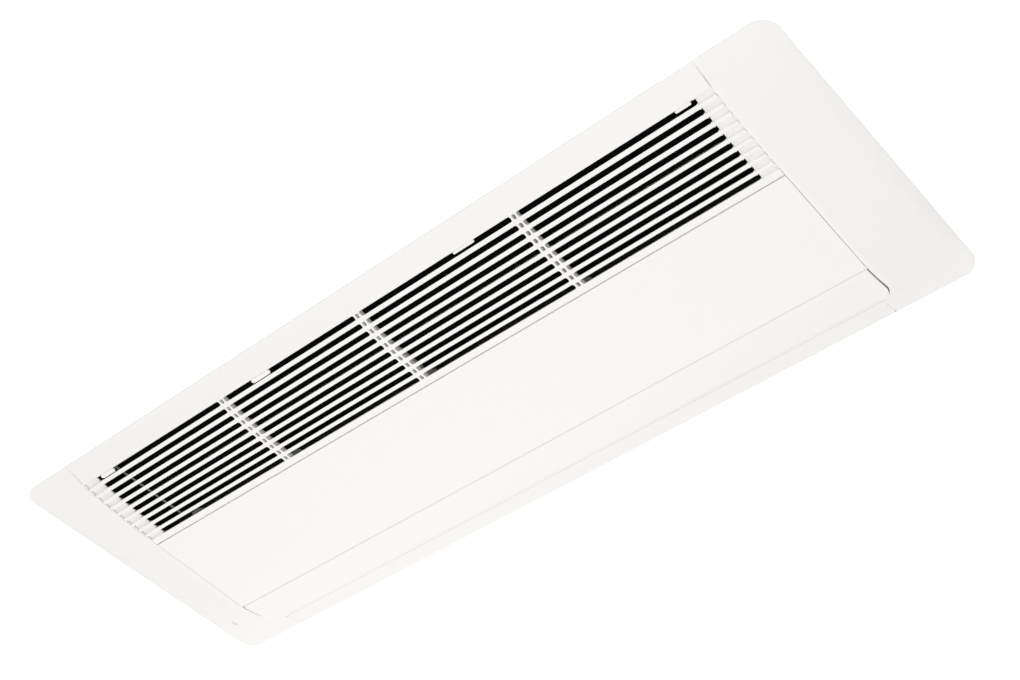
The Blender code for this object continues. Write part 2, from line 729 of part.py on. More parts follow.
def make_hooks():
    """Tongues with a half-oval end that lie under the base frame, over the grille's hinge edge."""
    root_y = GRILLE_WIDTH + SEAM_GAP - SEAT_GAP
    for number, (edge, offset) in enumerate(HOOKS, start=1):
        name = f"hinge_hook_{number}"
        x = bay_edge(edge) + offset
        outline = [(x + across * HOOK_WIDTH / 2, root_y + reach * HOOK_REACH)
                   for across, reach in arc((0.0, 0.0), 1.0, 180, 360, 12)]
        mesh = outline_mesh(name, outline, SEAT_Z - HOOK_THICKNESS, SEAT_Z, "Z")
        add_piece(name, mesh, GREY_PLASTIC)


def make_centre_panel():
    """Closed middle strip: a shallow channel whose two flanges seat under the base frame."""
    start = GRILLE_WIDTH + SEAM_GAP
    end = VANE_START_Y - SEAM_GAP
    wall_end = end - 2 * FLANGE_WALL
    wall_start = wall_end - FLANGE_WALL
    face_rows = spread(start, end, 9)
    points = [(y, -face_depth(y)) for y in face_rows]
    points.append((end, -face_depth(end) + SKIN_WALL))
    points.append((wall_end, -face_depth(wall_end) + SKIN_WALL))
    points.append((wall_end, SEAT_Z))
    points.append((wall_start, SEAT_Z))
    inner_start = start + FLANGE_WALL
    inner_rows = [y for y in reversed(face_rows) if inner_start < y < wall_start]
    for y in [wall_start] + inner_rows + [inner_start]:
        points.append((y, -face_depth(y) + SKIN_WALL))
    points.append((inner_start, SEAT_Z))
    points.append((start, SEAT_Z))
    mesh = outline_mesh("centre_panel", points, -PIECE_HALF, PIECE_HALF)
    add_piece("centre_panel", mesh, PANEL_PLASTIC)


def vane_depth(y):
    """Depth of the vane's face: flush at its hinge and proud of the panel at its outer edge."""
    return face_depth(y) + VANE_CROWN * ((y - VANE_START_Y) / VANE_WIDTH) ** 2


def make_vane():
    """Air vane: a crowned blade with a rolled outer edge and a round hinge edge, on two pins."""
    half = SEAM_X - VANE_END_GAP
    roll_y = VANE_END_Y - VANE_ROLL
    face_rows = spread(VANE_PIVOT[0], roll_y, 9)[1:-1]
    points = arc(VANE_PIVOT, VANE_HINGE_RADIUS, 90, 270, 10)
    points += [(y, -vane_depth(y)) for y in face_rows]
    for across, down in arc((0.0, 0.0), 1.0, -90, 0, 7):
        y = roll_y + across * VANE_ROLL
        points.append((y, -vane_depth(y) + (1 + down) * VANE_THICKNESS))
    points += [(y, -vane_depth(y) + VANE_THICKNESS) for y in reversed(face_rows)]
    vane = add_piece("vane", outline_mesh("vane", points, -half, half), PANEL_PLASTIC, VANE_HINGE)
    centre = (half - VANE_CORNER_RADIUS, VANE_END_Y - VANE_CORNER_RADIUS)
    corner = arc(centre, VANE_CORNER_RADIUS, 0, 90, 10)
    beyond = (half + VANE_END_GAP, VANE_END_Y + VANE_END_GAP)
    corner += [(centre[0], beyond[1]), beyond, (beyond[0], centre[1])]
    for side, label in ((-1, "left"), (1, "right")):
        name = f"vane_corner_{label}"
        outline = [(side * x, y) for x, y in corner]
        apply_boolean(vane, name, outline_mesh(name, outline, -2 * HOUSING_INSET_Y, 0.0, "Z"))
    add_end_pins(vane, half, VANE_PIVOT, VANE_PIN_RADIUS)


def make_lip():
    """Strip beyond the outlet: an inner wall up to the base frame and a face out to the rim."""
    face_rows = spread(LIP_START_Y, PANEL_WIDTH - RIM_WIDTH, 7)
    wall_end = LIP_START_Y + FLANGE_WALL
    points = [(y, -face_depth(y)) for y in face_rows]
    points += [(PANEL_WIDTH, -RIM_DEPTH), (PANEL_WIDTH, 0.0), (PANEL_WIDTH - RIM_WIDTH, 0.0)]
    for y in reversed([row for row in face_rows[:-1] if row > wall_end]):
        points.append((y, min(-face_depth(y) + SKIN_WALL, -STEP)))
    points.append((wall_end, -face_depth(wall_end) + SKIN_WALL))
    points.append((wall_end, SEAT_Z))
    points.append((LIP_START_Y, SEAT_Z))
    half = TONGUE_X - SEAM_GAP / 2
    add_piece("outlet_lip", outline_mesh("outlet_lip", points, -half, half), PANEL_PLASTIC)


def make_base_frame():
    """Flat frame against the ceiling, with the intake and outlet openings cut through."""
    half = HALF_LENGTH - FRAME_INSET_X
    low = (-half, FRAME_INSET_Y, -FRAME_THICKNESS)
    high = (half, PANEL_WIDTH - FRAME_INSET_Y, 0.0)
    mesh = box_mesh("base_frame", low, high, FRAME_CORNER_RADIUS)
    frame = add_piece("base_frame", mesh, DARK_PLASTIC)
    for label, span in (("intake", INTAKE_Y), ("outlet", OUTLET_Y)):
        low = (-FRAME_OPENING_HALF, span[0], -2 * FRAME_THICKNESS)
        high = (FRAME_OPENING_HALF, span[1], FRAME_THICKNESS)
        apply_boolean(frame, f"{label}_cut", box_mesh(f"{label}_cut", low, high))


def make_housing():
    """Sheet-steel top with pressed ribs, and four walls, round the foam body."""
    back, front = HOUSING_Y
    top_low = HOUSING_HEIGHT - SHEET
    wall_top = top_low - SEAT_GAP
    top = add_piece("housing_top", box_mesh(
        "housing_top", (-HOUSING_HALF, back, top_low), (HOUSING_HALF, front, HOUSING_HEIGHT)),
        SHEET_STEEL)
    rib_half = HOUSING_HALF - TOP_RIB_INSET
    for number, y in enumerate(spread(back + TOP_RIB_INSET, front - TOP_RIB_INSET, 3), start=1):
        name = f"top_rib_{number}"
        outline = rounded_rectangle(
            (-rib_half, y - TOP_RIB_WIDTH / 2), (rib_half, y + TOP_RIB_WIDTH / 2),
            TOP_RIB_WIDTH * 0.49)
        rib = outline_mesh(name, outline, top_low + SHEET / 2, HOUSING_HEIGHT + TOP_RIB_HEIGHT, "Z")
        apply_boolean(top, name, rib, "UNION")
    for name, low_y in (("housing_intake_wall", back), ("housing_outlet_wall", front - SHEET)):
        low = (-HOUSING_HALF, low_y, SEAT_GAP)
        high = (HOUSING_HALF, low_y + SHEET, wall_top)
        add_piece(name, box_mesh(name, low, high), SHEET_STEEL)
    for side, label in ((-1, "left"), (1, "right")):
        name = f"housing_{label}_wall"
        edges = sorted((side * HOUSING_HALF, side * (HOUSING_HALF - SHEET)))
        low = (edges[0], back + SHEET + SEAT_GAP, SEAT_GAP)
        high = (edges[1], front - SHEET - SEAT_GAP, wall_top)
        add_piece(name, box_mesh(name, low, high), SHEET_STEEL)


def duct_outline(growth, foot_z):
    """Arch of the outlet duct, grown outwards: up one side, over the roof and down the other."""
    middle = (OUTLET_Y[0] + OUTLET_Y[1]) / 2
    radius = (OUTLET_Y[1] - OUTLET_Y[0]) / 2 + growth
    centre_z = DUCT_HEIGHT + growth - radius
    return [(middle - radius, foot_z)] + arc((middle, centre_z), radius, 180, 0, 10) + [
        (middle + radius, foot_z)]


def make_foam_body():
    """Moulded foam body in the housing, with the intake chamber and the outlet duct."""
    back = HOUSING_Y[0] + SHEET + SEAT_GAP
    front = HOUSING_Y[1] - SHEET - SEAT_GAP
    top = HOUSING_HEIGHT - SHEET - SEAT_GAP
    points = [(back, SEAT_GAP), (INTAKE_Y[0], SEAT_GAP), (INTAKE_Y[0], INTAKE_CHAMBER_HEIGHT)]
    points += [(CHAMBER_END_Y, INTAKE_CHAMBER_HEIGHT), (CHAMBER_END_Y, SEAT_GAP)]
    points += duct_outline(DUCT_WALL + SEAT_GAP, SEAT_GAP)
    points += [(front, SEAT_GAP), (front, top), (back, top)]
    add_piece("foam_body", outline_mesh("foam_body", points, -FOAM_HALF, FOAM_HALF), FOAM)
    liner = duct_outline(DUCT_WALL, SEAT_GAP) + list(reversed(duct_outline(0.0, SEAT_GAP)))
    mesh = outline_mesh("outlet_duct", liner, -FOAM_HALF, FOAM_HALF)
    add_piece("outlet_duct", mesh, PANEL_PLASTIC)
    for side, label in ((-1, "left"), (1, "right")):
        name = f"foam_end_{label}"
        inner = FOAM_HALF + SEAT_GAP
        outer = HOUSING_HALF - SHEET - SEAT_GAP
        edges = sorted((side * inner, side * outer))
        add_piece(name, box_mesh(name, (edges[0], back, SEAT_GAP), (edges[1], front, top)), FOAM)


def make_filters():
    """Two air filters, end to end: a frame with cross ribs over a sheet of mesh."""
    near = INTAKE_Y[0] + SEAT_GAP
    far = CHAMBER_END_Y - SEAT_GAP
    top = FILTER_LIFT + FILTER_THICKNESS
    mesh_low = FILTER_LIFT + MESH_LIFT
    for label, edges in (("left", (FILTER_ENDS_X[0], FILTER_JOINT_X - SEAT_GAP / 2)),
                         ("right", (FILTER_JOINT_X + SEAT_GAP / 2, FILTER_ENDS_X[1]))):
        name = f"air_filter_{label}"
        frame = add_piece(name, box_mesh(
            name, (edges[0], near, FILTER_LIFT), (edges[1], far, top)), GREY_PLASTIC)
        low_x, high_x = edges[0] + FILTER_RAIL, edges[1] - FILTER_RAIL
        low_y, high_y = near + FILTER_RAIL, far - FILTER_RAIL
        rib_low = mesh_low + MESH_THICKNESS + SEAT_GAP
        apply_boolean(frame, f"{name}_hole", box_mesh(
            f"{name}_hole", (low_x, low_y, 0.0), (high_x, high_y, rib_low)))
        bays = round((high_x - low_x) / FILTER_RIB_PITCH)
        bay = (high_x - low_x + FILTER_RIB) / bays
        windows = bmesh.new()
        for number in range(bays):
            start = low_x + number * bay
            add_box_to(windows, (start, low_y, mesh_low), (start + bay - FILTER_RIB, high_y, 2 * top))
        apply_boolean(frame, f"{name}_windows", mesh_from_bmesh(f"{name}_windows", windows))
        mesh_name = f"filter_mesh_{label}"
        low = (low_x + SEAT_GAP, low_y + SEAT_GAP, mesh_low)
        high = (high_x - SEAT_GAP, high_y - SEAT_GAP, mesh_low + MESH_THICKNESS)
        add_piece(mesh_name, box_mesh(mesh_name, low, high), FILTER_MESH)


def make_brackets():
    """Four hanger brackets, two on each end wall, each with a slot for the hanger rod."""
    wall_x = HOUSING_HALF + SEAT_GAP
    top_z = BRACKET_HEIGHT + BRACKET_THICKNESS
    section = [
        (wall_x, BRACKET_HEIGHT),
        (wall_x + BRACKET_REACH, BRACKET_HEIGHT),
        (wall_x + BRACKET_REACH, top_z),
        (wall_x + BRACKET_THICKNESS, top_z),
        (wall_x + BRACKET_THICKNESS, BRACKET_HEIGHT + BRACKET_LEG),
        (wall_x, BRACKET_HEIGHT + BRACKET_LEG),
    ]
    number = 0
    for side in (-1, 1):
        for middle_y in BRACKET_Y:
            number += 1
            name = f"hanger_bracket_{number}"
            outline = [(side * x, z) for x, z in section]
            bracket = add_piece(name, outline_mesh(
                name, outline, middle_y - BRACKET_WIDTH / 2, middle_y + BRACKET_WIDTH / 2, "Y"),
                SHEET_STEEL)
            slot_x = side * (wall_x + HANGER_SLOT_OFFSET)
            slot_name = f"hanger_slot_{number}"
            slot = outline_mesh(slot_name, rounded_rectangle(
                (slot_x - HANGER_SLOT_WIDTH / 2, middle_y - HANGER_SLOT_LENGTH / 2),
                (slot_x + HANGER_SLOT_WIDTH / 2, middle_y + HANGER_SLOT_LENGTH / 2),
                HANGER_SLOT_WIDTH * 0.49), BRACKET_HEIGHT - BRACKET_THICKNESS,
                top_z + BRACKET_THICKNESS, "Z")
            apply_boolean(bracket, slot_name, slot)


def make_connections():
    """Pipe stubs with flare nuts, drain spigot, cable gland and control cover on the right end."""
    wall_x = HOUSING_HALF + SEAT_GAP
    for name, place, radius in (("gas_pipe", GAS_PIPE_PLACE, GAS_PIPE_RADIUS),
                                ("liquid_pipe", LIQUID_PIPE_PLACE, LIQUID_PIPE_RADIUS)):
        start = (wall_x, HOUSING_MIDDLE_Y + place[0], place[1])
        add_piece(name, bar_mesh(name, start, 1, PIPE_STUB_LENGTH, radius, 20), COPPER)
        nut_start = (wall_x + PIPE_STUB_LENGTH + SEAT_GAP, start[1], start[2])
        nut = bar_mesh(
            f"{name}_nut", nut_start, 1, radius * NUT_LENGTH_SHARE, radius * NUT_RADIUS_SHARE, 6)
        add_piece(f"{name}_nut", nut, BRASS)

    inner = DRAIN_RADIUS - DRAIN_WALL
    bead_x = DRAIN_LENGTH - 6 * DRAIN_BEAD
    spigot = [(0.0, inner), (0.0, DRAIN_RADIUS), (bead_x, DRAIN_RADIUS)]
    spigot += [(bead_x + DRAIN_BEAD, DRAIN_RADIUS + DRAIN_BEAD)]
    spigot += [(DRAIN_LENGTH, DRAIN_RADIUS - DRAIN_BEAD / 2), (DRAIN_LENGTH, inner)]
    start = (wall_x, HOUSING_MIDDLE_Y + DRAIN_PLACE[0], DRAIN_PLACE[1])
    add_piece("drain_spigot", turned_mesh("drain_spigot", spigot, start), GREY_PLASTIC)

    flange = 0.3 * GLAND_LENGTH
    body = (GLAND_RADIUS + GLAND_BORE_RADIUS) / 2
    gland = [(0.0, GLAND_BORE_RADIUS), (0.0, GLAND_RADIUS), (flange, GLAND_RADIUS)]
    gland += [(flange, body), (GLAND_LENGTH, body * 0.9), (GLAND_LENGTH, GLAND_BORE_RADIUS)]
    start = (wall_x, HOUSING_MIDDLE_Y + GLAND_PLACE[0], GLAND_PLACE[1])
    add_piece("cable_gland", turned_mesh("cable_gland", gland, start), DARK_PLASTIC)

    low = (HOUSING_MIDDLE_Y + COVER_PLACE[0], COVER_PLACE[1])
    high = (low[0] + COVER_SIZE[0], low[1] + COVER_SIZE[1])
    cover = outline_mesh("control_cover", rounded_rectangle(low, high, COVER_CORNER_RADIUS),
                         wall_x, wall_x + COVER_THICKNESS)
    add_piece("control_cover", cover, SHEET_STEEL)


left_cap = make_end_cap("end_cap_left", -1)
make_end_cap("end_cap_right", 1)
make_lens(left_cap)
make_grille()
for latch_number, latch in enumerate(LATCHES, start=1):
    make_latch(latch_number, *latch)
make_hooks()
make_centre_panel()
make_vane()
make_lip()
make_base_frame()
make_housing()
make_foam_body()
make_filters()
make_brackets()
make_connections()
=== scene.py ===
"""Looks of a large one-way ceiling cassette air conditioner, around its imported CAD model.

Sizes are in metres. Each sub-assembly is modelled in panel coordinates: X along the panel from its
middle, Y across it from the intake side's outer edge, Z up from the ceiling plane. A finished
piece is moved to the frame's own origin, with its place in its mesh.
"""

import json
import logging
import math
from contextlib import contextmanager
from dataclasses import dataclass, field
from enum import Enum
from typing import Callable, Iterator, Sequence

import bmesh
import bpy
from mathutils import Matrix, Vector


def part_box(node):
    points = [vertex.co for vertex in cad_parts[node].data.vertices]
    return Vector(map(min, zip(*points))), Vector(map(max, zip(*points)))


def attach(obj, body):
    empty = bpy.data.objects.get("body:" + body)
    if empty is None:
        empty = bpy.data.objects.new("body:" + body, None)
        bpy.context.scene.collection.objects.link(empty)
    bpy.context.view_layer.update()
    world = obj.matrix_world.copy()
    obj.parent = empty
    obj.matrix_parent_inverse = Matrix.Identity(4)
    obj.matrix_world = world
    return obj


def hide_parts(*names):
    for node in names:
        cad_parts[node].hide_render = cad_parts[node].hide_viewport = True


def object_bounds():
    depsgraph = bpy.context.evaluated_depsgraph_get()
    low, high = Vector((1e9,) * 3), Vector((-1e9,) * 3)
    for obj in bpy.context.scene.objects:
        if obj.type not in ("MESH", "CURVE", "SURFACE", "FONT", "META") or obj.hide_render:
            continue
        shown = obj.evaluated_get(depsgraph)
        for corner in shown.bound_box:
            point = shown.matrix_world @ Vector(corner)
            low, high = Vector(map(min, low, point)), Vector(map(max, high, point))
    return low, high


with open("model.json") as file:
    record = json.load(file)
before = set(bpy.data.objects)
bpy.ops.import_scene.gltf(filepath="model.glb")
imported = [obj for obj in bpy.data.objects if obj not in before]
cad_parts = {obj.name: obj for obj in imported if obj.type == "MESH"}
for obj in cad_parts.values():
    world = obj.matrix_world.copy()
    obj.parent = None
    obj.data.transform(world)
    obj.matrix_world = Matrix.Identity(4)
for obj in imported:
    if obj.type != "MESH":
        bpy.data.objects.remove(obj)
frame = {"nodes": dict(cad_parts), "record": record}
CAD_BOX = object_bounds()

log = logging.getLogger("ceiling_cassette")

MM = 0.001
# How near a corner lies to a plane to count as on it, and how far a cutting solid passes a piece
HAIR = 0.01 * MM
OVERSHOOT = 1 * MM
# Edges of bent sheet below this angle are shaded smooth, in degrees
SHEET_SMOOTH = 50.0
# Strength of all relief, the stretch of drawn metal's grain, and the wave texture's own factor
RELIEF_STRENGTH = 0.5
DRAWN_STRETCH = (0.04, 1.0, 1.0)
WAVE_FACTOR = 20

Point = tuple[float, float]
Test = Callable[..., bool]
Screws = list[tuple[Vector, Vector]]


class Axis(Enum):
    """Direction in which a flat section is drawn out into a piece."""

    ALONG = ((0, 0, 1), (1, 0, 0), (0, 1, 0))
    ACROSS = ((1, 0, 0), (0, 0, -1), (0, 1, 0))
    UP = ((1, 0, 0), (0, 1, 0), (0, 0, 1))


class Side(Enum):
    """The two ends of the unit, as the sign of X."""

    LEFT = -1
    RIGHT = 1

    @property
    def label(self) -> str:
        """The end's name in lower case."""
        return self.name.lower()


class Body(Enum):
    """What a piece moves with."""

    FIXED = "root"
    GRILLE = "grille"
    VANE = "vane"


class Element(Enum):
    """What is picked in edit mode: the name of its select mode, and of its list in the mesh."""

    VERTICES = ("VERT", "verts")
    EDGES = ("EDGE", "edges")
    FACES = ("FACE", "faces")


class Surface(Enum):
    """The pattern that gives a finish its fine detail."""

    MOULDED = "moulded"
    SPANGLED = "spangled"
    BEADED = "beaded"
    WOVEN = "woven"
    DRAWN = "drawn"


@dataclass(frozen=True)
class Wiring:
    """A node tree, with a short way to add nodes and join their sockets."""

    tree: bpy.types.NodeTree

    def put(self, node: bpy.types.Node, inputs: dict[str | int, object]) -> None:
        """Fill a node's inputs.

        Args:
            node: The node.
            inputs: What goes into each input, by name or number: a value or a socket to join.
        """
        for name, held in inputs.items():
            if isinstance(held, bpy.types.NodeSocket):
                self.tree.links.new(held, node.inputs[name])
            else:
                node.inputs[name].default_value = held

    def add(self, kind: str, inputs: dict[str | int, object], output: str,
            **settings: object) -> bpy.types.NodeSocket:
        """Add a shader node.

        Args:
            kind: Kind of the node.
            inputs: What goes into its inputs.
            output: The output that is returned.
            settings: Settings of the node itself.

        Returns:
            The output's socket.
        """
        node = self.tree.nodes.new(f"ShaderNode{kind}")
        for name, setting in settings.items():
            setattr(node, name, setting)
        self.put(node, inputs)
        return node.outputs[output]

    def most(self, first: bpy.types.NodeSocket,
             second: bpy.types.NodeSocket) -> bpy.types.NodeSocket:
        """Return the larger of two values."""
        return self.add("Math", {0: first, 1: second}, "Value", operation="MAXIMUM")

    def seen(self) -> bpy.types.NodeSocket:
        """Return a value that is 1 for rays that show a thing directly, in a gloss or through it."""
        rays = self.tree.nodes.new("ShaderNodeLightPath").outputs
        direct_or_gloss = self.most(rays["Is Camera Ray"], rays["Is Glossy Ray"])
        return self.most(direct_or_gloss, rays["Is Transmission Ray"])


@dataclass(frozen=True)
class Finish:
    """An even finish without a pattern: the material that the frame brings for a slot.

    Args:
        slot: The record's slot: the frame's material of that name, which CAD nodes in the slot take.
    """

    slot: str

    def material(self) -> bpy.types.Material:
        """Return the frame's material of the slot."""
        return bpy.data.materials[self.slot]


@dataclass(frozen=True)
class PatternedFinish(Finish):
    """A finish with its own material: colour, gloss and the fine pattern of its surface.

    Args:
        slot: The record's slot that pieces in this finish use.
        name: Name of the material.
        colour: Linear base colour.
        roughness: Middle roughness.
        surface: Pattern of the fine detail.
        metallic: 1 for bare metal.
        grain: Size of the fine detail.
        relief: Height of the fine detail.
        spread: Share by which the colour varies over the surface.
        shine: Level of the mirror-like reflection, 0.5 for common plastics.
        gloss_spread: Share by which the roughness varies over the surface.
        cloud: Size of the soft clouds in the colour of a moulded or drawn surface.
    """

    name: str
    colour: tuple[float, float, float]
    roughness: float
    surface: Surface = Surface.MOULDED
    metallic: float = 0.0
    grain: float = 0.9 * MM
    relief: float = 0.012 * MM
    spread: float = 0.02
    shine: float = 0.5
    gloss_spread: float = 0.1
    cloud: float = 120 * MM

    def material(self) -> bpy.types.Material:
        """Return the finish's material, made on first use."""
        return bpy.data.materials.get(self.name) or self._make()

    def _make(self) -> bpy.types.Material:
        """Make the material: colour and roughness vary, and the pattern stands in relief.

        Returns:
            The material.
        """
        material = bpy.data.materials.new(self.name)
        material.use_nodes = True
        wiring = Wiring(material.node_tree)
        place = wiring.add("TexCoord", {}, "Object")
        mixed = pattern = self._pattern(wiring, place)
        if self.surface in (Surface.MOULDED, Surface.DRAWN):
            mixed = self._noise(wiring, place, self.cloud, detail=3.0)
        low = [channel * (1 - self.spread) for channel in self.colour]
        high = [min(channel * (1 + self.spread), 1.0) for channel in self.colour]
        gloss = {"To Min": self.roughness * (1 - self.gloss_spread),
                 "To Max": min(self.roughness * (1 + self.gloss_spread), 1.0), "Value": pattern}
        relief = {"Strength": RELIEF_STRENGTH, "Distance": self.relief, "Height": pattern}
        wiring.put(material.node_tree.nodes["Principled BSDF"], {
            "Metallic": self.metallic,
            "Specular IOR Level": self.shine,
            "Base Color": wiring.add(
                "Mix", {"Factor": mixed, "A": (*low, 1.0), "B": (*high, 1.0)}, "Result",
                data_type="RGBA"),
            "Roughness": wiring.add("MapRange", gloss, "Result"),
            "Normal": wiring.add("Bump", relief, "Normal"),
        })
        return material

    @staticmethod
    def _noise(wiring: Wiring, place: bpy.types.NodeSocket, size: float,
               detail: float) -> bpy.types.NodeSocket:
        """Return noise with features of a given size, and octaves of finer detail."""
        return wiring.add("TexNoise", {"Vector": place, "Scale": 1 / size, "Detail": detail}, "Fac")

    def _pattern(self, wiring: Wiring, place: bpy.types.NodeSocket) -> bpy.types.NodeSocket:
        """Add the finish's fine pattern.

        Args:
            wiring: The material's nodes.
            place: Socket of the coordinates.

        Returns:
            The pattern's value.
        """
        if self.surface is Surface.MOULDED:
            return self._noise(wiring, place, self.grain, detail=2.0)
        if self.surface is Surface.DRAWN:
            along = wiring.add("Mapping", {"Vector": place, "Scale": DRAWN_STRETCH}, "Vector")
            return self._noise(wiring, along, self.grain, detail=4.0)
        if self.surface is Surface.WOVEN:
            bands = {"Vector": place, "Scale": 1 / (WAVE_FACTOR * self.grain)}
            return wiring.most(*(wiring.add("TexWave", bands, "Fac", bands_direction=direction)
                                 for direction in ("X", "Y")))
        cells = {"Vector": place, "Scale": 1 / self.grain}
        if self.surface is Surface.BEADED:
            return wiring.add("TexVoronoi", cells, "Distance")
        tone = {"Color": wiring.add("TexVoronoi", cells, "Color")}
        return wiring.add("SeparateColor", tone, "Red")


PANEL_PLASTIC = Finish("panel_plastic")
# Grey plastic of the filter frames and drain, and painted shade on the hinge hooks, which lie in
# shadow behind the last slots
GREY_PLASTIC_AND_SHADE = Finish("grey_plastic")
# Painted shade: the lens is the cap's colour, and this grey stands in for the shade in its recess
LENS_PAINTED_SHADE = PatternedFinish("lens_plastic", "lens_painted_shade", (0.70, 0.70, 0.69), 0.25, grain=0.4 * MM)
# Black plastic of the cable gland, and painted shade on the base frame: black there stands in for the
# shade inside the unit behind the slots
BLACK_PLASTIC_AND_SHADE = PatternedFinish(
    "dark_plastic", "black_plastic_and_painted_shade", (0.008, 0.008, 0.008), 0.6, spread=0.2, shine=0.2)
# Dark filter weave, made near black partly as painted shade, so that the slots read black
FILTER_WEAVE_AND_SHADE = PatternedFinish(
    "filter_mesh", "filter_weave_and_painted_shade", (0.004, 0.004, 0.0042), 0.8, Surface.WOVEN, grain=1.2 * MM,
    relief=0.3 * MM, spread=0.5, shine=0.05)
ZINC_SHEET = PatternedFinish(
    "sheet_steel", "zinc_sheet", (0.60, 0.61, 0.62), 0.38, Surface.SPANGLED, metallic=0.9,
    grain=9 * MM, relief=0.01 * MM, spread=0.06)
BLACK_FOAM = PatternedFinish(
    "foam", "black_foam", (0.012, 0.012, 0.012), 0.9, Surface.BEADED, grain=3.5 * MM,
    relief=0.25 * MM, spread=0.4, shine=0.1)
COPPER_TUBE = PatternedFinish(
    "copper", "copper_tube", (0.78, 0.40, 0.24), 0.28, Surface.DRAWN, metallic=1.0, grain=0.6 * MM)
PLATED_STEEL = PatternedFinish(
    "sheet_steel", "plated_steel", (0.66, 0.66, 0.65), 0.3, metallic=1.0, grain=0.6 * MM)
BRASS_NUT = PatternedFinish(
    "brass", "brass_nut", (0.78, 0.60, 0.28), 0.3, Surface.DRAWN, metallic=1.0, grain=0.5 * MM)

NODE_FINISHES = {finish.slot: finish for finish in (
    PANEL_PLASTIC, GREY_PLASTIC_AND_SHADE, LENS_PAINTED_SHADE, BLACK_PLASTIC_AND_SHADE, FILTER_WEAVE_AND_SHADE, ZINC_SHEET, BLACK_FOAM,
    COPPER_TUBE, BRASS_NUT)}


def dress_nodes() -> None:
    """Give every CAD node the finish of its slot in the record."""
    for subpart in frame["record"]["subparts"]:
        node = frame["nodes"][subpart["node"]]
        node.data.materials.clear()
        node.data.materials.append(NODE_FINISHES[subpart["material_slot"]].material())


def panel_origin() -> Vector:
    """Return the origin of panel coordinates, in the frame."""
    low, high = CAD_BOX
    return Vector(((low[0] + high[0]) / 2, low[1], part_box("base_frame")[1].z))


PANEL_ORIGIN = panel_origin()


def spread(low: float, high: float, count: int) -> list[float]:
    """Return evenly spread values from low to high, both included."""
    return [low + (high - low) * i / (count - 1) for i in range(count)]


def arc(centre: Point, radius: float, start: float, end: float, steps: int) -> list[Point]:
    """Return points along an arc.

    Args:
        centre: Centre of the arc.
        radius: Its radius.
        start: Angle of the first point, in degrees.
        end: Angle of the last point, in degrees.
        steps: Number of steps between them.

    Returns:
        The points, both ends included.
    """
    angles = spread(math.radians(start), math.radians(end), steps + 1)
    return [(centre[0] + radius * math.cos(a), centre[1] + radius * math.sin(a)) for a in angles]


def rounded_rectangle(low: Point, high: Point, radius: float, steps: int = 8) -> list[Point]:
    """Return the outline of a rectangle with rounded corners.

    Args:
        low: Its lowest corner.
        high: Its highest corner.
        radius: Radius of its corners.
        steps: Steps round each corner.

    Returns:
        The points, anticlockwise.
    """
    left, right, near, far = low[0] + radius, high[0] - radius, low[1] + radius, high[1] - radius
    points = []
    for start, centre in ((0, (right, far)), (90, (left, far)), (180, (left, near)),
                          (270, (right, near))):
        points += arc(centre, radius, start, start + 90, steps)
    return points


@dataclass(frozen=True)
class Span:
    """Box of a CAD node, in panel coordinates."""

    low: Vector
    high: Vector

    @classmethod
    def of(cls, node: str) -> "Span":
        """Return the box of a CAD node."""
        return cls(*(Vector(corner) - PANEL_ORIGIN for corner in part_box(node)))

    @property
    def middle(self) -> Vector:
        """Middle of the box."""
        return (self.low + self.high) / 2

    @property
    def size(self) -> Vector:
        """Length, width and height of the box."""
        return self.high - self.low

    @property
    def radius(self) -> float:
        """Radius of a round piece that lies along X."""
        return max(self.size.y, self.size.z) / 2

    @property
    def start(self) -> Vector:
        """Middle of the box's face at its low X."""
        return Vector((self.low.x, self.middle.y, self.middle.z))


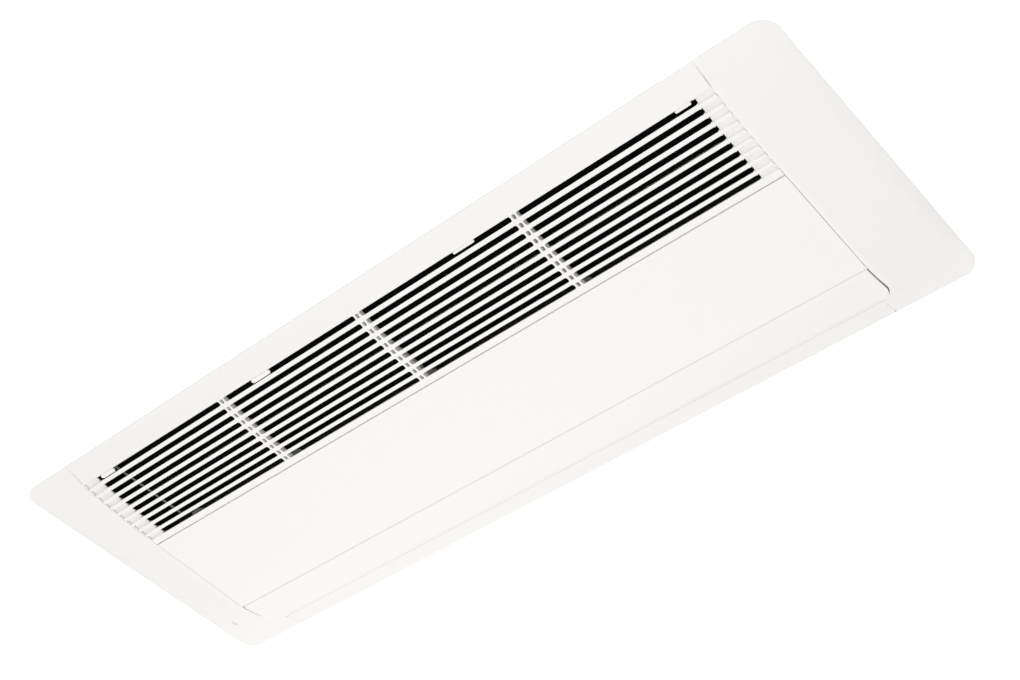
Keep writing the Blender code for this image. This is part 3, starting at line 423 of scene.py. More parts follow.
class Bench:
    """Modelling moves that all sub-assemblies share, each made with Blender's own operators."""

    @staticmethod
    def clear() -> None:
        """Leave edit mode and deselect every object."""
        if bpy.context.object and bpy.context.object.mode != "OBJECT":
            bpy.ops.object.mode_set(mode="OBJECT")
        bpy.ops.object.select_all(action="DESELECT")

    @classmethod
    def take(cls, piece: bpy.types.Object) -> None:
        """Make a piece the only selected object and the active one.

        Args:
            piece: The piece.
        """
        cls.clear()
        piece.select_set(True)
        bpy.context.view_layer.objects.active = piece

    @classmethod
    @contextmanager
    def editing(cls, piece: bpy.types.Object) -> Iterator[None]:
        """Take a piece and keep it in edit mode for a while.

        Args:
            piece: The piece.
        """
        cls.take(piece)
        bpy.ops.object.mode_set(mode="EDIT")
        yield
        bpy.ops.object.mode_set(mode="OBJECT")

    @staticmethod
    def settle() -> None:
        """Move the selected piece's place, turn and size into its mesh."""
        bpy.ops.object.transform_apply(location=True, rotation=True, scale=True)

    @classmethod
    def modify(cls, piece: bpy.types.Object, kind: str, **settings: object) -> None:
        """Add a modifier to a piece and apply it.

        Args:
            piece: The piece.
            kind: Kind of the modifier.
            settings: Its settings.
        """
        cls.take(piece)
        modifier = piece.modifiers.new(kind.lower(), kind)
        for name, setting in settings.items():
            setattr(modifier, name, setting)
        bpy.ops.object.modifier_apply(modifier=modifier.name)

    @staticmethod
    def pick(piece: bpy.types.Object, element: Element, test: Test) -> None:
        """In edit mode, select just the vertices, edges or faces that pass a test.

        Args:
            piece: The piece in edit mode.
            element: What is selected.
            test: Says whether a vertex, an edge or a face is selected.
        """
        mode, name = element.value
        bpy.ops.mesh.select_mode(type=mode)
        bm = bmesh.from_edit_mesh(piece.data)
        chosen = [item for item in getattr(bm, name) if test(item)]
        for item in getattr(bm, name):
            item.select_set(False)
        for item in chosen:
            item.select_set(True)
        bm.select_flush_mode()
        bmesh.update_edit_mesh(piece.data)

    @classmethod
    def drawn(cls, name: str, points: Sequence[Sequence[float]], dimensions: str,
              thickness: float = 0.0) -> bpy.types.Object:
        """Draw a closed curve through points and make it a mesh.

        Args:
            name: Name of the piece.
            points: Corner points of the curve.
            dimensions: 2D for a filled outline, 3D for a bare one.
            thickness: Half of a filled outline's thickness.

        Returns:
            The piece, as a mesh, selected.
        """
        cls.clear()
        curve = bpy.data.curves.new(name, "CURVE")
        curve.dimensions = dimensions
        curve.extrude = thickness
        if dimensions == "2D":
            curve.fill_mode = "BOTH"
        spline = curve.splines.new("POLY")
        spline.points.add(len(points) - 1)
        for point, place in zip(spline.points, points):
            point.co = (*place, 1.0)
        spline.use_cyclic_u = True
        piece = bpy.data.objects.new(name, curve)
        bpy.context.scene.collection.objects.link(piece)
        cls.take(piece)
        bpy.ops.object.convert(target="MESH")
        return piece

    @classmethod
    def section(cls, name: str, outline: Sequence[Point], start: float, end: float,
                axis: Axis = Axis.ALONG) -> bpy.types.Object:
        """Draw a flat closed outline out along an axis.

        Args:
            name: Name of the piece.
            outline: Corner points of the section.
            start: Where the piece starts along the axis.
            end: Where it ends.
            axis: Direction of the extrusion.

        Returns:
            The piece, as a mesh with its place in its vertices.
        """
        points = [(across, up, 0.0) for across, up in outline]
        piece = cls.drawn(name, points, "2D", (end - start) / 2)
        turn = Matrix(axis.value).to_4x4()
        along = Vector(map(abs, turn @ Vector((0, 0, 1)))) * (start + end) / 2
        piece.matrix_world = Matrix.Translation(along) @ turn
        cls.settle()
        cls.merge(piece)
        return piece

    @classmethod
    def turned(cls, name: str, profile: Sequence[Point], place: Vector,
               steps: int = 48) -> bpy.types.Object:
        """Turn a closed profile about an axis along X.

        Args:
            name: Name of the piece.
            profile: Points as distance along the axis and radius.
            place: Start of the axis.
            steps: Sides of the turned piece.

        Returns:
            The piece, as a mesh with its place in its vertices.
        """
        piece = cls.drawn(name, [(along, 0.0, radius) for along, radius in profile], "3D")
        with cls.editing(piece):
            bpy.ops.mesh.select_all(action="SELECT")
            bpy.ops.mesh.spin(steps=steps, angle=2 * math.pi, center=(0, 0, 0), axis=(1, 0, 0))
        cls.merge(piece)
        piece.data.transform(Matrix.Translation(place))
        return piece

    @classmethod
    def block(cls, name: str, low: Sequence[float], high: Sequence[float]) -> bpy.types.Object:
        """Add a cube primitive between two corners.

        Args:
            name: Name of the piece.
            low: Its lowest corner.
            high: Its highest corner.

        Returns:
            The piece, with its place in its mesh.
        """
        cls.clear()
        low, high = Vector(low), Vector(high)
        bpy.ops.mesh.primitive_cube_add(size=1.0, location=(low + high) / 2, scale=high - low)
        piece = bpy.context.object
        piece.name = name
        cls.settle()
        return piece

    @classmethod
    def merge(cls, piece: bpy.types.Object) -> None:
        """Merge a piece's doubles and turn its faces outwards.

        Args:
            piece: The piece.
        """
        with cls.editing(piece):
            bpy.ops.mesh.select_all(action="SELECT")
            bpy.ops.mesh.remove_doubles(threshold=0.2 * HAIR)
            bpy.ops.mesh.normals_make_consistent(inside=False)

    @classmethod
    def lean(cls, piece: bpy.types.Object, test: Test, height: float, tilt: float) -> None:
        """In edit mode, lean the vertices of a straight-sided block that pass a test.

        Args:
            piece: The block, with all its vertices in two level layers.
            test: Picks the vertices that move.
            height: Height at which they keep their place.
            tilt: How far they move along Y for each metre of height.
        """
        verts = bmesh.from_edit_mesh(piece.data).verts
        chosen = [(vert.index, round(vert.co.z, 6)) for vert in verts if test(vert)]
        for level in sorted({z for _, z in chosen}):
            cls.pick(piece, Element.VERTICES, lambda v, z=level: (v.index, z) in chosen)
            bpy.ops.transform.translate(value=(0.0, tilt * (level - height), 0.0))

    @classmethod
    def bevel(cls, piece: bpy.types.Object, test: Test, radius: float, segments: int) -> None:
        """Round just the edges of a piece that pass a test.

        Args:
            piece: The piece.
            test: Picks the edges.
            radius: Radius of the rounding.
            segments: Its number of steps.
        """
        with cls.editing(piece):
            cls.pick(piece, Element.EDGES, test)
            bpy.ops.mesh.bevel(offset=radius, segments=segments, affect="EDGES")

    @classmethod
    def round_uprights(cls, piece: bpy.types.Object, radius: float, segments: int) -> None:
        """Round the upright corner edges of a block or prism.

        Args:
            piece: The block or prism.
            radius: Radius of its corners in plan.
            segments: Steps of each corner.
        """
        heights = [vert.co.z for vert in piece.data.vertices]
        half = (max(heights) - min(heights)) / 2
        cls.bevel(piece, lambda e: abs(e.verts[0].co.z - e.verts[1].co.z) > half, radius, segments)

    @classmethod
    def round_top(cls, piece: bpy.types.Object, top: float, radius: float, segments: int) -> None:
        """Round the edges of a piece's level top.

        Args:
            piece: The piece.
            top: Height of its top.
            radius: Radius of the rounding.
            segments: Its number of steps.
        """
        cls.bevel(piece, lambda e: min(v.co.z for v in e.verts) > top - HAIR, radius, segments)

    @classmethod
    def tray(cls, piece: bpy.types.Object, wall: float) -> None:
        """Hollow a block from below.

        Args:
            piece: The block.
            wall: Thickness of the sides and the top that stay.
        """
        heights = [vert.co.z for vert in piece.data.vertices]
        rise = max(heights) - min(heights) - wall
        with cls.editing(piece):
            cls.pick(piece, Element.FACES, lambda face: face.normal.z < -0.5)
            bpy.ops.mesh.inset(thickness=wall)
            bpy.ops.mesh.extrude_region_move(TRANSFORM_OT_translate={"value": (0, 0, rise)})

    @staticmethod
    def stand(piece: bpy.types.Object, place: Vector, up: Vector) -> bpy.types.Object:
        """Move a piece modelled on the XY plane to a place.

        Args:
            piece: The piece.
            place: Where its origin goes.
            up: The direction that its Z turns to.

        Returns:
            The same piece.
        """
        turn = Vector((0, 0, 1)).rotation_difference(up).to_matrix().to_4x4()
        piece.data.transform(Matrix.Translation(place) @ turn)
        return piece

    @staticmethod
    def copy(piece: bpy.types.Object, name: str) -> bpy.types.Object:
        """Copy a piece with its own mesh.

        Args:
            piece: The piece.
            name: The copy's name.

        Returns:
            The copy.
        """
        twin = bpy.data.objects.new(name, piece.data.copy())
        bpy.context.scene.collection.objects.link(twin)
        return twin

    @classmethod
    def join(cls, name: str, pieces: Sequence[bpy.types.Object]) -> bpy.types.Object:
        """Join pieces into one object.

        Args:
            name: Name of the joined piece.
            pieces: The pieces, two or more.

        Returns:
            The joined piece.
        """
        cls.take(pieces[0])
        for piece in pieces:
            piece.select_set(True)
        bpy.ops.object.join()
        pieces[0].name = name
        return pieces[0]

    @classmethod
    def boolean(cls, piece: bpy.types.Object, tool: bpy.types.Object,
                operation: str = "DIFFERENCE") -> None:
        """Cut, join or intersect a piece with a tool, which is used up.

        Args:
            piece: The piece that stays.
            tool: The piece that is used up.
            operation: DIFFERENCE, UNION or INTERSECT.
        """
        cls.modify(piece, "BOOLEAN", operation=operation, solver="EXACT", object=tool)
        bpy.data.objects.remove(tool)

    @classmethod
    def soften(cls, piece: bpy.types.Object, radius: float, segments: int = 2,
               limit: float = 35.0) -> None:
        """Round a piece's sharp edges.

        Args:
            piece: The piece.
            radius: Radius of the rounding.
            segments: Its number of steps.
            limit: Edges above this angle are rounded, in degrees.
        """
        cls.modify(piece, "BEVEL", width=radius, segments=segments, limit_method="ANGLE",
                   angle_limit=math.radians(limit))

    @classmethod
    def finish(cls, piece: bpy.types.Object, finish: Finish, *nodes: str,
               body: Body = Body.FIXED, smooth: float = 32.0) -> None:
        """Shade and dress a piece, put it in the frame, hang it on the body it rides on, and hide the
        CAD nodes that it stands for.

        Args:
            piece: The modelled piece, in panel coordinates.
            finish: Its finish.
            nodes: CAD nodes that it stands for.
            body: The body that it moves with.
            smooth: Edges below this angle are shaded smooth, in degrees.
        """
        cls.take(piece)
        piece.location = PANEL_ORIGIN
        cls.settle()
        bpy.ops.object.shade_smooth_by_angle(angle=math.radians(smooth))
        cls.modify(piece, "WEIGHTED_NORMAL", keep_sharp=True)
        piece.data.materials.clear()
        piece.data.materials.append(finish.material())
        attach(piece, body.value)
        if nodes:
            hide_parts(*nodes)
        log.info("%s: %d faces, with %s", piece.name, len(piece.data.polygons), body.value)


@dataclass(frozen=True)
class PanelShape:
    """Sizes and curves of the moulded panel, shared by its pieces."""

    length: float = 1420 * MM
    width: float = 500 * MM
    corner_radius: float = 28 * MM
    rim_depth: float = 1.8 * MM
    rim_width: float = 4 * MM
    wall: float = 2.2 * MM
    cap_length: float = 110 * MM
    cap_tongue: float = 22 * MM
    cap_roll: float = 22 * MM
    cap_land: float = 5 * MM
    cap_turn: float = 2.4 * MM
    cap_edge_slope: float = 2.2
    cap_wall: float = 1.76 * MM
    recess_radius: float = 30 * MM
    seam_gap: float = 0.8 * MM
    tongue_gap: float = 0.3 * MM
    seat_height: float = -3.3 * MM
    first_slot: float = 44.6 * MM
    slot_rows: int = 10
    slot_pitch: float = 14.9 * MM
    slot_width: float = 8.8 * MM
    slot_end_land: float = 27 * MM
    slot_bays: int = 4
    divider_width: float = 11 * MM
    divider_shifts: tuple[float, ...] = (0.0, -8 * MM, -7.3 * MM)
    hinge_land: float = 13.4 * MM
    grille_hinge_radius: float = 3.0 * MM
    vane_width: float = 76.4 * MM
    strip_shoulder: float = 35 * MM
    vane_thickness: float = 5 * MM
    vane_roll: float = 15 * MM
    vane_drop: float = 5.5 * MM
    vane_crown: float = 4.5 * MM
    vane_hinge_radius: float = 3.5 * MM
    recess_width: float = 0.6 * MM
    lip_width: float = 38 * MM

    @property
    def half_length(self) -> float:
        """Half of the panel's length."""
        return self.length / 2

    @property
    def seam_x(self) -> float:
        """Distance of the end seams from the panel's middle."""
        return self.half_length - self.cap_length

    @property
    def piece_half(self) -> float:
        """Half length of the pieces between the end seams."""
        return self.seam_x - self.seam_gap / 2

    @property
    def tongue_x(self) -> float:
        """Distance of the lip's end seams from the panel's middle."""
        return self.seam_x - self.cap_tongue

    @property
    def field_half(self) -> float:
        """Half length of the slotted field."""
        return self.seam_x - self.slot_end_land

    @property
    def field_start(self) -> float:
        """Near edge of the first slot."""
        return self.first_slot - self.slot_width / 2

    @property
    def field_end(self) -> float:
        """Far edge of the last slot."""
        return self.field_start + (self.slot_rows - 1) * self.slot_pitch + self.slot_width

    @property
    def grille_end(self) -> float:
        """Edge of the grille beside the middle strip."""
        return self.field_end + self.hinge_land

    @property
    def lip_start(self) -> float:
        """Inner edge of the outlet lip."""
        return self.width - self.lip_width

    @property
    def vane_end(self) -> float:
        """Outer edge of the vane."""
        return self.lip_start - self.recess_width

    @property
    def vane_start(self) -> float:
        """Hinged edge of the vane."""
        return self.vane_end - self.vane_width

    @property
    def recess_centre(self) -> Point:
        """Centre, in plan, of the recess's round corner at the right end."""
        return (self.seam_x - self.recess_radius, self.lip_start - self.recess_radius)

    @property
    def profile(self) -> tuple[Point, ...]:
        """Points of the face across the panel: distance from the edge and depth."""
        return (
            (0.0, self.rim_depth),
            (20 * MM, 6.2 * MM),
            (self.field_start, 12.3 * MM),
            (60 * MM, 16.6 * MM),
            (96 * MM, 21.2 * MM),
            (145 * MM, 25.0 * MM),
            (self.grille_end, 26.8 * MM),
            ((self.grille_end + self.vane_start) / 2, 30.2 * MM),
            (self.vane_start - self.strip_shoulder, 32.6 * MM),
            (self.vane_start, 33.4 * MM),
            (self.vane_start + self.vane_width / 2, 27.1 * MM),
            (self.vane_end - self.vane_thickness, 17.6 * MM),
            (self.lip_start + 4 * MM, 13.4 * MM),
            (self.width, self.rim_depth),
        )

    def depth(self, y: float) -> float:
        """Return the depth of the face below the ceiling, on a smooth curve.

        Args:
            y: Distance from the intake side's outer edge.

        Returns:
            The depth.
        """
        points = self.profile
        last = len(points) - 1
        index = 0
        while index < last - 1 and y > points[index + 1][0]:
            index += 1

        def slope(i: int) -> float:
            """Return the slope at a point of the profile."""
            low, high = points[max(i - 1, 0)], points[min(i + 1, last)]
            return (high[1] - low[1]) / (high[0] - low[0])

        (y0, depth0), (y1, depth1) = points[index], points[index + 1]
        span = y1 - y0
        t = (y - y0) / span
        return (
            depth0 * (2 * t ** 3 - 3 * t ** 2 + 1)
            + slope(index) * span * (t ** 3 - 2 * t ** 2 + t)
            + depth1 * (3 * t ** 2 - 2 * t ** 3)
            + slope(index + 1) * span * (t ** 3 - t ** 2)
        )

    def face(self, rows: Sequence[float], lift: float = 0.0) -> list[Point]:
        """Return points of the face at some rows, lifted towards the ceiling."""
        return [(y, -self.depth(y) + lift) for y in rows]

    def hinge(self, y: float, radius: float) -> Point:
        """Return the pivot of a round edge that is tangent to the face at y."""
        return (y, -self.depth(y) + radius)

    @property
    def grille_pivot(self) -> Point:
        """Axis of the grille's hinge, in section."""
        return self.hinge(self.grille_end - self.grille_hinge_radius, self.grille_hinge_radius)

    @property
    def vane_pivot(self) -> Point:
        """Axis of the vane's hinge, in section."""
        return self.hinge(self.vane_start + self.vane_hinge_radius, self.vane_hinge_radius)

    def slot_middle(self, row: int) -> float:
        """Return the middle of a row of slots."""
        return self.first_slot + row * self.slot_pitch

    def bay_edge(self, number: int) -> float:
        """Return the place along X of an edge between bays, counted from the left end."""
        return (number - self.slot_bays / 2) * 2 * self.field_half / self.slot_bays

    def divider_middles(self) -> list[float]:
        """Return the middles of the dividers between the bays."""
        return [self.bay_edge(number) + shift
                for number, shift in enumerate(self.divider_shifts, start=1)]

    def slot_spans(self) -> list[Point]:
        """Work out where the slots lie in each bay.

        Returns:
            Their start and end along X.
        """
        edges = [-self.field_half]
        for middle in self.divider_middles():
            edges += [middle - self.divider_width / 2, middle + self.divider_width / 2]
        edges.append(self.field_half)
        return list(zip(edges[0::2], edges[1::2]))

    def cap_outer(self, y: float) -> float:
        """Return a cap's outer end, with the panel's rounded corners.

        Args:
            y: Place across the panel.

        Returns:
            Its distance from the panel's middle.
        """
        radius = self.corner_radius
        inset = max(radius - y, y - (self.width - radius), 0.0)
        return self.half_length - radius + math.sqrt(max(radius ** 2 - inset ** 2, 0.0))

    def cap_rise(self, share: float) -> float:
        """Return a cap's depth as a share of the full depth, along its length.

        The cap has a flat land beside the seam, then falls away in a plane, and rolls over
        towards the rim at its outer end.

        Args:
            share: Distance from the outer end, as a share of the cap's length.

        Returns:
            0 at the rim and 1 at the seam.
        """
        roll = self.cap_roll / self.cap_length
        land = 1 - self.cap_land / self.cap_length
        turn = self.cap_turn / self.cap_length
        slope = 1 / (land - roll + roll * (1 + self.cap_edge_slope) / 2)
        if share < roll:
            return slope * share * (
                self.cap_edge_slope - (self.cap_edge_slope - 1) * share / (2 * roll))
        if share < land - turn:
            return 1 - slope * (land - share)
        if share < land + turn:
            return 1 - slope * (land + turn - share) ** 2 / (4 * turn)
        return 1.0

    def cap_depth(self, x: float, y: float) -> float:
        """Return the depth of a cap's face.

        Args:
            x: Distance from the panel's middle.
            y: Place across the panel.

        Returns:
            The depth.
        """
        outer = self.cap_outer(y)
        share = (outer - x) / (outer - self.cap_inner(y))
        return self.rim_depth + (self.depth(y) - self.rim_depth) * self.cap_rise(share)

    def recess_end_angle(self) -> float:
        """Return the angle at which the recess's round corner meets the lip's seam."""
        return math.acos((self.tongue_x - self.recess_centre[0]) / self.recess_radius)

    def cap_inner(self, y: float) -> float:
        """Return a cap's inner edge: seam, round corner of the recess, lip's seam.

        Args:
            y: Place across the panel.

        Returns:
            Its distance from the panel's middle.
        """
        centre_x, centre_y = self.recess_centre
        past, radius = y - centre_y, self.recess_radius
        if past <= 0:
            return self.seam_x + self.seam_gap / 2
        if past >= radius * math.sin(self.recess_end_angle()) - HAIR:
            return self.tongue_x + self.tongue_gap / 2
        return centre_x + math.sqrt(radius ** 2 - past ** 2) + self.seam_gap / 2


PANEL = PanelShape()


@dataclass
class EndCap:
    """Pillow-shaped end of the panel, shaped from a flat grid."""

    side: Side
    edge_radius: float = 0.8 * MM
    lift: float = 100 * MM
    aside: float = 2.0
    corner_steps: int = 10
    middle_rows: int = 45
    plane_columns: int = 9
    turn_columns: int = 7

    def build(self) -> None:
        """Model the cap and dress it, with the lens in its hole at the left end."""
        Bench.clear()
        bpy.ops.mesh.primitive_grid_add(
            x_subdivisions=len(self.columns()) - 1, y_subdivisions=len(self.rows()) - 1, size=1.0)
        cap = bpy.context.object
        cap.name = f"end_cap_shell_{self.side.label}"
        with Bench.editing(cap):
            self._roll_columns(cap)
            self._place_rows(cap)
            self._turn_up_edges(cap)
        if self.side is Side.LEFT:
            cap.scale = (-1, 1, 1)
            Bench.settle()
        Bench.merge(cap)
        Bench.modify(cap, "SOLIDIFY", thickness=PANEL.cap_wall, offset=-1.0)
        Bench.soften(cap, self.edge_radius, segments=3, limit=50.0)
        if self.side is Side.LEFT:
            lens = IndicatorLens()
            Bench.boolean(cap, lens.hole())
            lens.build()
        Bench.finish(cap, PANEL_PLASTIC, f"end_cap_{self.side.label}", smooth=40.0)

    def rows(self) -> list[float]:
        """Place the rows across the cap, dense at its corners and round the recess.

        Returns:
            The places along Y.
        """
        radius, centre_y = PANEL.corner_radius, PANEL.recess_centre[1]
        corner = [radius * (1 - math.cos(angle))
                  for angle in spread(0.0, math.pi / 2, self.corner_steps + 1)]
        middle = spread(radius, centre_y, self.middle_rows)[1:-1]
        recess = [centre_y + PANEL.recess_radius * math.sin(angle)
                  for angle in spread(0.0, PANEL.recess_end_angle(), self.corner_steps + 1)]
        return corner + middle + recess + [PANEL.width - y for y in reversed(corner)]

    def columns(self) -> list[float]:
        """Place the columns from the outer end to the seam.

        Returns:
            Their places as shares of the cap's length.
        """
        roll, land = PANEL.cap_roll / PANEL.cap_length, 1 - PANEL.cap_land / PANEL.cap_length
        turn = PANEL.cap_turn / PANEL.cap_length
        shares = spread(0.0, roll, self.plane_columns)
        shares += spread(roll, land - turn, self.plane_columns)[1:]
        return shares + spread(land - turn, land + turn, self.turn_columns)[1:] + [1.0]

    def _roll_columns(self, cap: bpy.types.Object) -> None:
        """Move each column to its share of the length, and down by its share of the depth.

        Args:
            cap: The cap's grid, in edit mode.
        """
        shares = self.columns()
        step = 1 / (len(shares) - 1)
        for column, share in enumerate(shares[1:], start=1):
            old = column * step - 0.5
            Bench.pick(cap, Element.VERTICES, lambda v, x=old: (
                abs(v.co.x - x) < step / 4 and v.co.z > -HAIR))
            rise = PANEL.cap_rise(share)
            bpy.ops.transform.translate(value=(share - 0.5 - old, 0.0, -rise * self.lift))

    def _place_rows(self, cap: bpy.types.Object) -> None:
        """Stretch and scale each row to its real place, length and depth.

        A row that is done waits aside, so that no later row picks it up.

        Args:
            cap: The cap's grid, in edit mode.
        """
        rows = self.rows()
        step = 1 / (len(rows) - 1)
        for index, y in reversed(list(enumerate(rows))):
            old_y = index * step - 0.5
            outer, inner = PANEL.cap_outer(y), PANEL.cap_inner(y)
            Bench.pick(cap, Element.VERTICES, lambda v, old=old_y: abs(v.co.y - old) < step / 4)
            depth = (PANEL.depth(y) - PANEL.rim_depth) / self.lift
            bpy.ops.transform.resize(
                value=(inner - outer, 1.0, depth), center_override=(-0.5, 0.0, 0.0))
            bpy.ops.transform.translate(
                value=(outer + 0.5, y - old_y + self.aside, -PANEL.rim_depth))
        bpy.ops.mesh.select_all(action="SELECT")
        bpy.ops.transform.translate(value=(0.0, -self.aside, 0.0))

    def _turn_up_edges(self, cap: bpy.types.Object) -> None:
        """Turn the outer edge up to the ceiling, and the seam edge up to the base frame.

        Args:
            cap: The cap's sheet, in edit mode.
        """
        def on_seam(edge: bmesh.types.BMEdge) -> bool:
            """Return whether a border edge lies on the cap's inner edge."""
            return edge.is_boundary and all(
                vert.co.x < PANEL.cap_inner(vert.co.y) + 10 * HAIR for vert in edge.verts)

        for test, height in ((lambda e: e.is_boundary and not on_seam(e), 0.0),
                             (on_seam, PANEL.seat_height)):
            Bench.pick(cap, Element.EDGES, test)
            bpy.ops.mesh.extrude_region_move()
            bpy.ops.transform.resize(value=(1, 1, 0), center_override=(0, 0, height))


@dataclass
class IntakeGrille:
    """Slotted intake grille with leaning slats, fluted ends and a round hinge edge."""

    rib_depth: float = 10 * MM
    near_lean: float = 0.17
    slat_back: float = 1.8 * MM
    slot_corner: float = 2.6 * MM
    window_width: float = 5 * MM
    window_corner: float = 1.5 * MM
    window_margin: float = 0.8 * MM
    end_skin: float = 6.8 * MM
    flute_width: float = 9.4 * MM
    flute_depth: float = 4.6 * MM
    flute_fullness: float = 0.6
    edge_radius: float = 0.6 * MM
    long_edge: float = 3.5 * MM
    sharp_angle: float = 40.0
    latches: tuple[tuple[int, float, float, float], ...] = (
        (0, 27 * MM, 30 * MM, 7.2 * MM),
        (1, 83.5 * MM, 37 * MM, 7.2 * MM),
        (3, -94.5 * MM, 37 * MM, 4.0 * MM),
        (4, -18 * MM, 24 * MM, 4.0 * MM),
    )
    latch_depth: float = 3 * MM
    latch_gap: float = 0.3 * MM
    latch_edge: float = 0.5 * MM
    latch_roundness: float = 0.46
    strip_rows: int = 9
    hinge_steps: int = 12
    relief_rows: int = 14
    flute_steps: int = 20

    @property
    def far_lean(self) -> float:
        """Lean of the far wall of each slot."""
        gap = PANEL.slot_pitch - PANEL.slot_width - self.slat_back
        return self.near_lean + gap / self.rib_depth

    def build(self) -> None:
        """Model the grille and its latches."""
        grille = Bench.section(
            "slotted_grille", self._outline(), -PANEL.piece_half, PANEL.piece_half)
        Bench.boolean(grille, self._slots())
        for side in Side:
            span = sorted((side.value * (PANEL.field_half - OVERSHOOT / 2),
                           side.value * (PANEL.piece_half + OVERSHOOT)))
            Bench.boolean(grille, Bench.section("relief", self._relief(), *span))
            flutes = [Bench.section("flute", self._flute(row), *span)
                      for row in range(PANEL.slot_rows)]
            Bench.boolean(grille, Bench.join("flutes", flutes))
        Bench.bevel(grille, self._is_long_edge, self.edge_radius, 2)
        Bench.finish(grille, PANEL_PLASTIC, "intake_grille", body=Body.GRILLE)
        for number, (edge, offset, length, width) in enumerate(self.latches, start=1):
            self._latch(number, PANEL.bay_edge(edge) + offset, length, width)

    def _is_long_edge(self, edge: bmesh.types.BMEdge) -> bool:
        """Return whether an edge is sharp and long enough to be rounded."""
        return (edge.is_manifold and edge.calc_length() > self.long_edge
                and edge.calc_face_angle(0.0) > math.radians(self.sharp_angle))

    def _outline(self) -> list[Point]:
        """Draw the grille's cross-section.

        Returns:
            Its corner points, round from the outer edge.
        """
        radius, pivot = PANEL.grille_hinge_radius, PANEL.grille_pivot
        rib_start = PANEL.field_start - PANEL.slot_width / 2
        back_y = pivot[0] - radius
        strip_rows = spread(PANEL.rim_width, rib_start - PANEL.rim_width, self.strip_rows)
        lands = [PANEL.slot_middle(row) + PANEL.slot_pitch / 2 for row in range(-1, PANEL.slot_rows)]
        field_rows = [rib_start] + [y for y in lands if rib_start < y < back_y]
        points = [(0.0, 0.0), (0.0, -PANEL.rim_depth)]
        points += PANEL.face(strip_rows + field_rows)
        points += arc(pivot, radius, -90, 90, self.hinge_steps)
        points.append((back_y, pivot[1] + radius))
        points += PANEL.face(reversed(field_rows + [back_y]), self.rib_depth)
        points += PANEL.face(reversed(strip_rows[1:]), PANEL.wall)
        return points + [(PANEL.rim_width, 0.0)]

    def _slot(self, row: int, span: Point, width: float, radius: float) -> bpy.types.Object:
        """Model one leaning slot as a solid to cut with.

        Args:
            row: Row of slots, from the outer edge.
            span: Its start and end along X.
            width: Its width at the face.
            radius: Radius of its corners in plan.

        Returns:
            The solid.
        """
        middle = PANEL.slot_middle(row)
        face_z = -PANEL.depth(middle)
        past = self.rib_depth / 4
        slot = Bench.block(
            "slot", (span[0], middle - width / 2, face_z - past),
            (span[1], middle + width / 2, face_z + self.rib_depth + past))
        with Bench.editing(slot):
            Bench.lean(slot, lambda v: v.co.y > middle, face_z, self.far_lean - self.near_lean)
            Bench.lean(slot, lambda v: True, face_z, self.near_lean)
        Bench.round_uprights(slot, radius, 3)
        return slot

    def _slots(self) -> bpy.types.Object:
        """Model all slots and divider windows as one solid to cut with.

        Returns:
            The solid.
        """
        half = self.window_width / 2
        window = (PANEL.slot_width - self.window_margin, self.window_corner)
        solids = []
        for row in range(PANEL.slot_rows):
            for span in PANEL.slot_spans():
                solids.append(self._slot(row, span, PANEL.slot_width, self.slot_corner))
            for middle in PANEL.divider_middles():
                solids.append(self._slot(row, (middle - half, middle + half), *window))
        return Bench.join("slots", solids)

    def _relief(self) -> list[Point]:
        """Draw the space above the thin skin at the grille's ends.

        Returns:
            Its corner points.
        """
        start = PANEL.field_start - PANEL.slot_width
        end = PANEL.grille_pivot[0] - PANEL.grille_hinge_radius * 1.5
        points = PANEL.face(spread(start, end, self.relief_rows), self.end_skin)
        return points + [(end, self.rib_depth), (start, self.rib_depth)]

    def _flute(self, row: int) -> list[Point]:
        """Draw the closed groove that runs on from a slot to the end seam.

        Args:
            row: Row of slots, from the outer edge.

        Returns:
            Its corner points.
        """
        middle = PANEL.slot_middle(row)
        half, lean = self.flute_width / 2, (self.near_lean + self.far_lean) / 2
        points = []
        for across, up in arc((0.0, 0.0), 1.0, 0, 180, self.flute_steps):
            across = math.copysign(abs(across) ** self.flute_fullness, across)
            height = max(up, 0.0) ** self.flute_fullness * self.flute_depth
            y = middle + across * half
            points.append((y + lean * height, -PANEL.depth(y) + height))
        floor = -PANEL.depth(middle) - self.flute_depth
        return points + [(middle - half, floor), (middle + half, floor)]

    def _latch(self, number: int, x: float, length: float, width: float) -> None:
        """Model one latch tab with rounded ends in the first row of slots.

        Args:
            number: Number of the latch, from the left.
            x: Its middle along X.
            length: Its length.
            width: Its width.
        """
        near = PANEL.field_start + self.latch_gap
        face_z = -PANEL.depth(PANEL.slot_middle(0))
        tab = Bench.block(
            f"latch_tab_{number}", (x - length / 2, near, face_z),
            (x + length / 2, near + width, face_z + self.latch_depth))
        Bench.round_uprights(tab, width * self.latch_roundness, 6)
        Bench.soften(tab, self.latch_edge)
        Bench.finish(tab, PANEL_PLASTIC, f"grille_latch_{number}", body=Body.GRILLE)


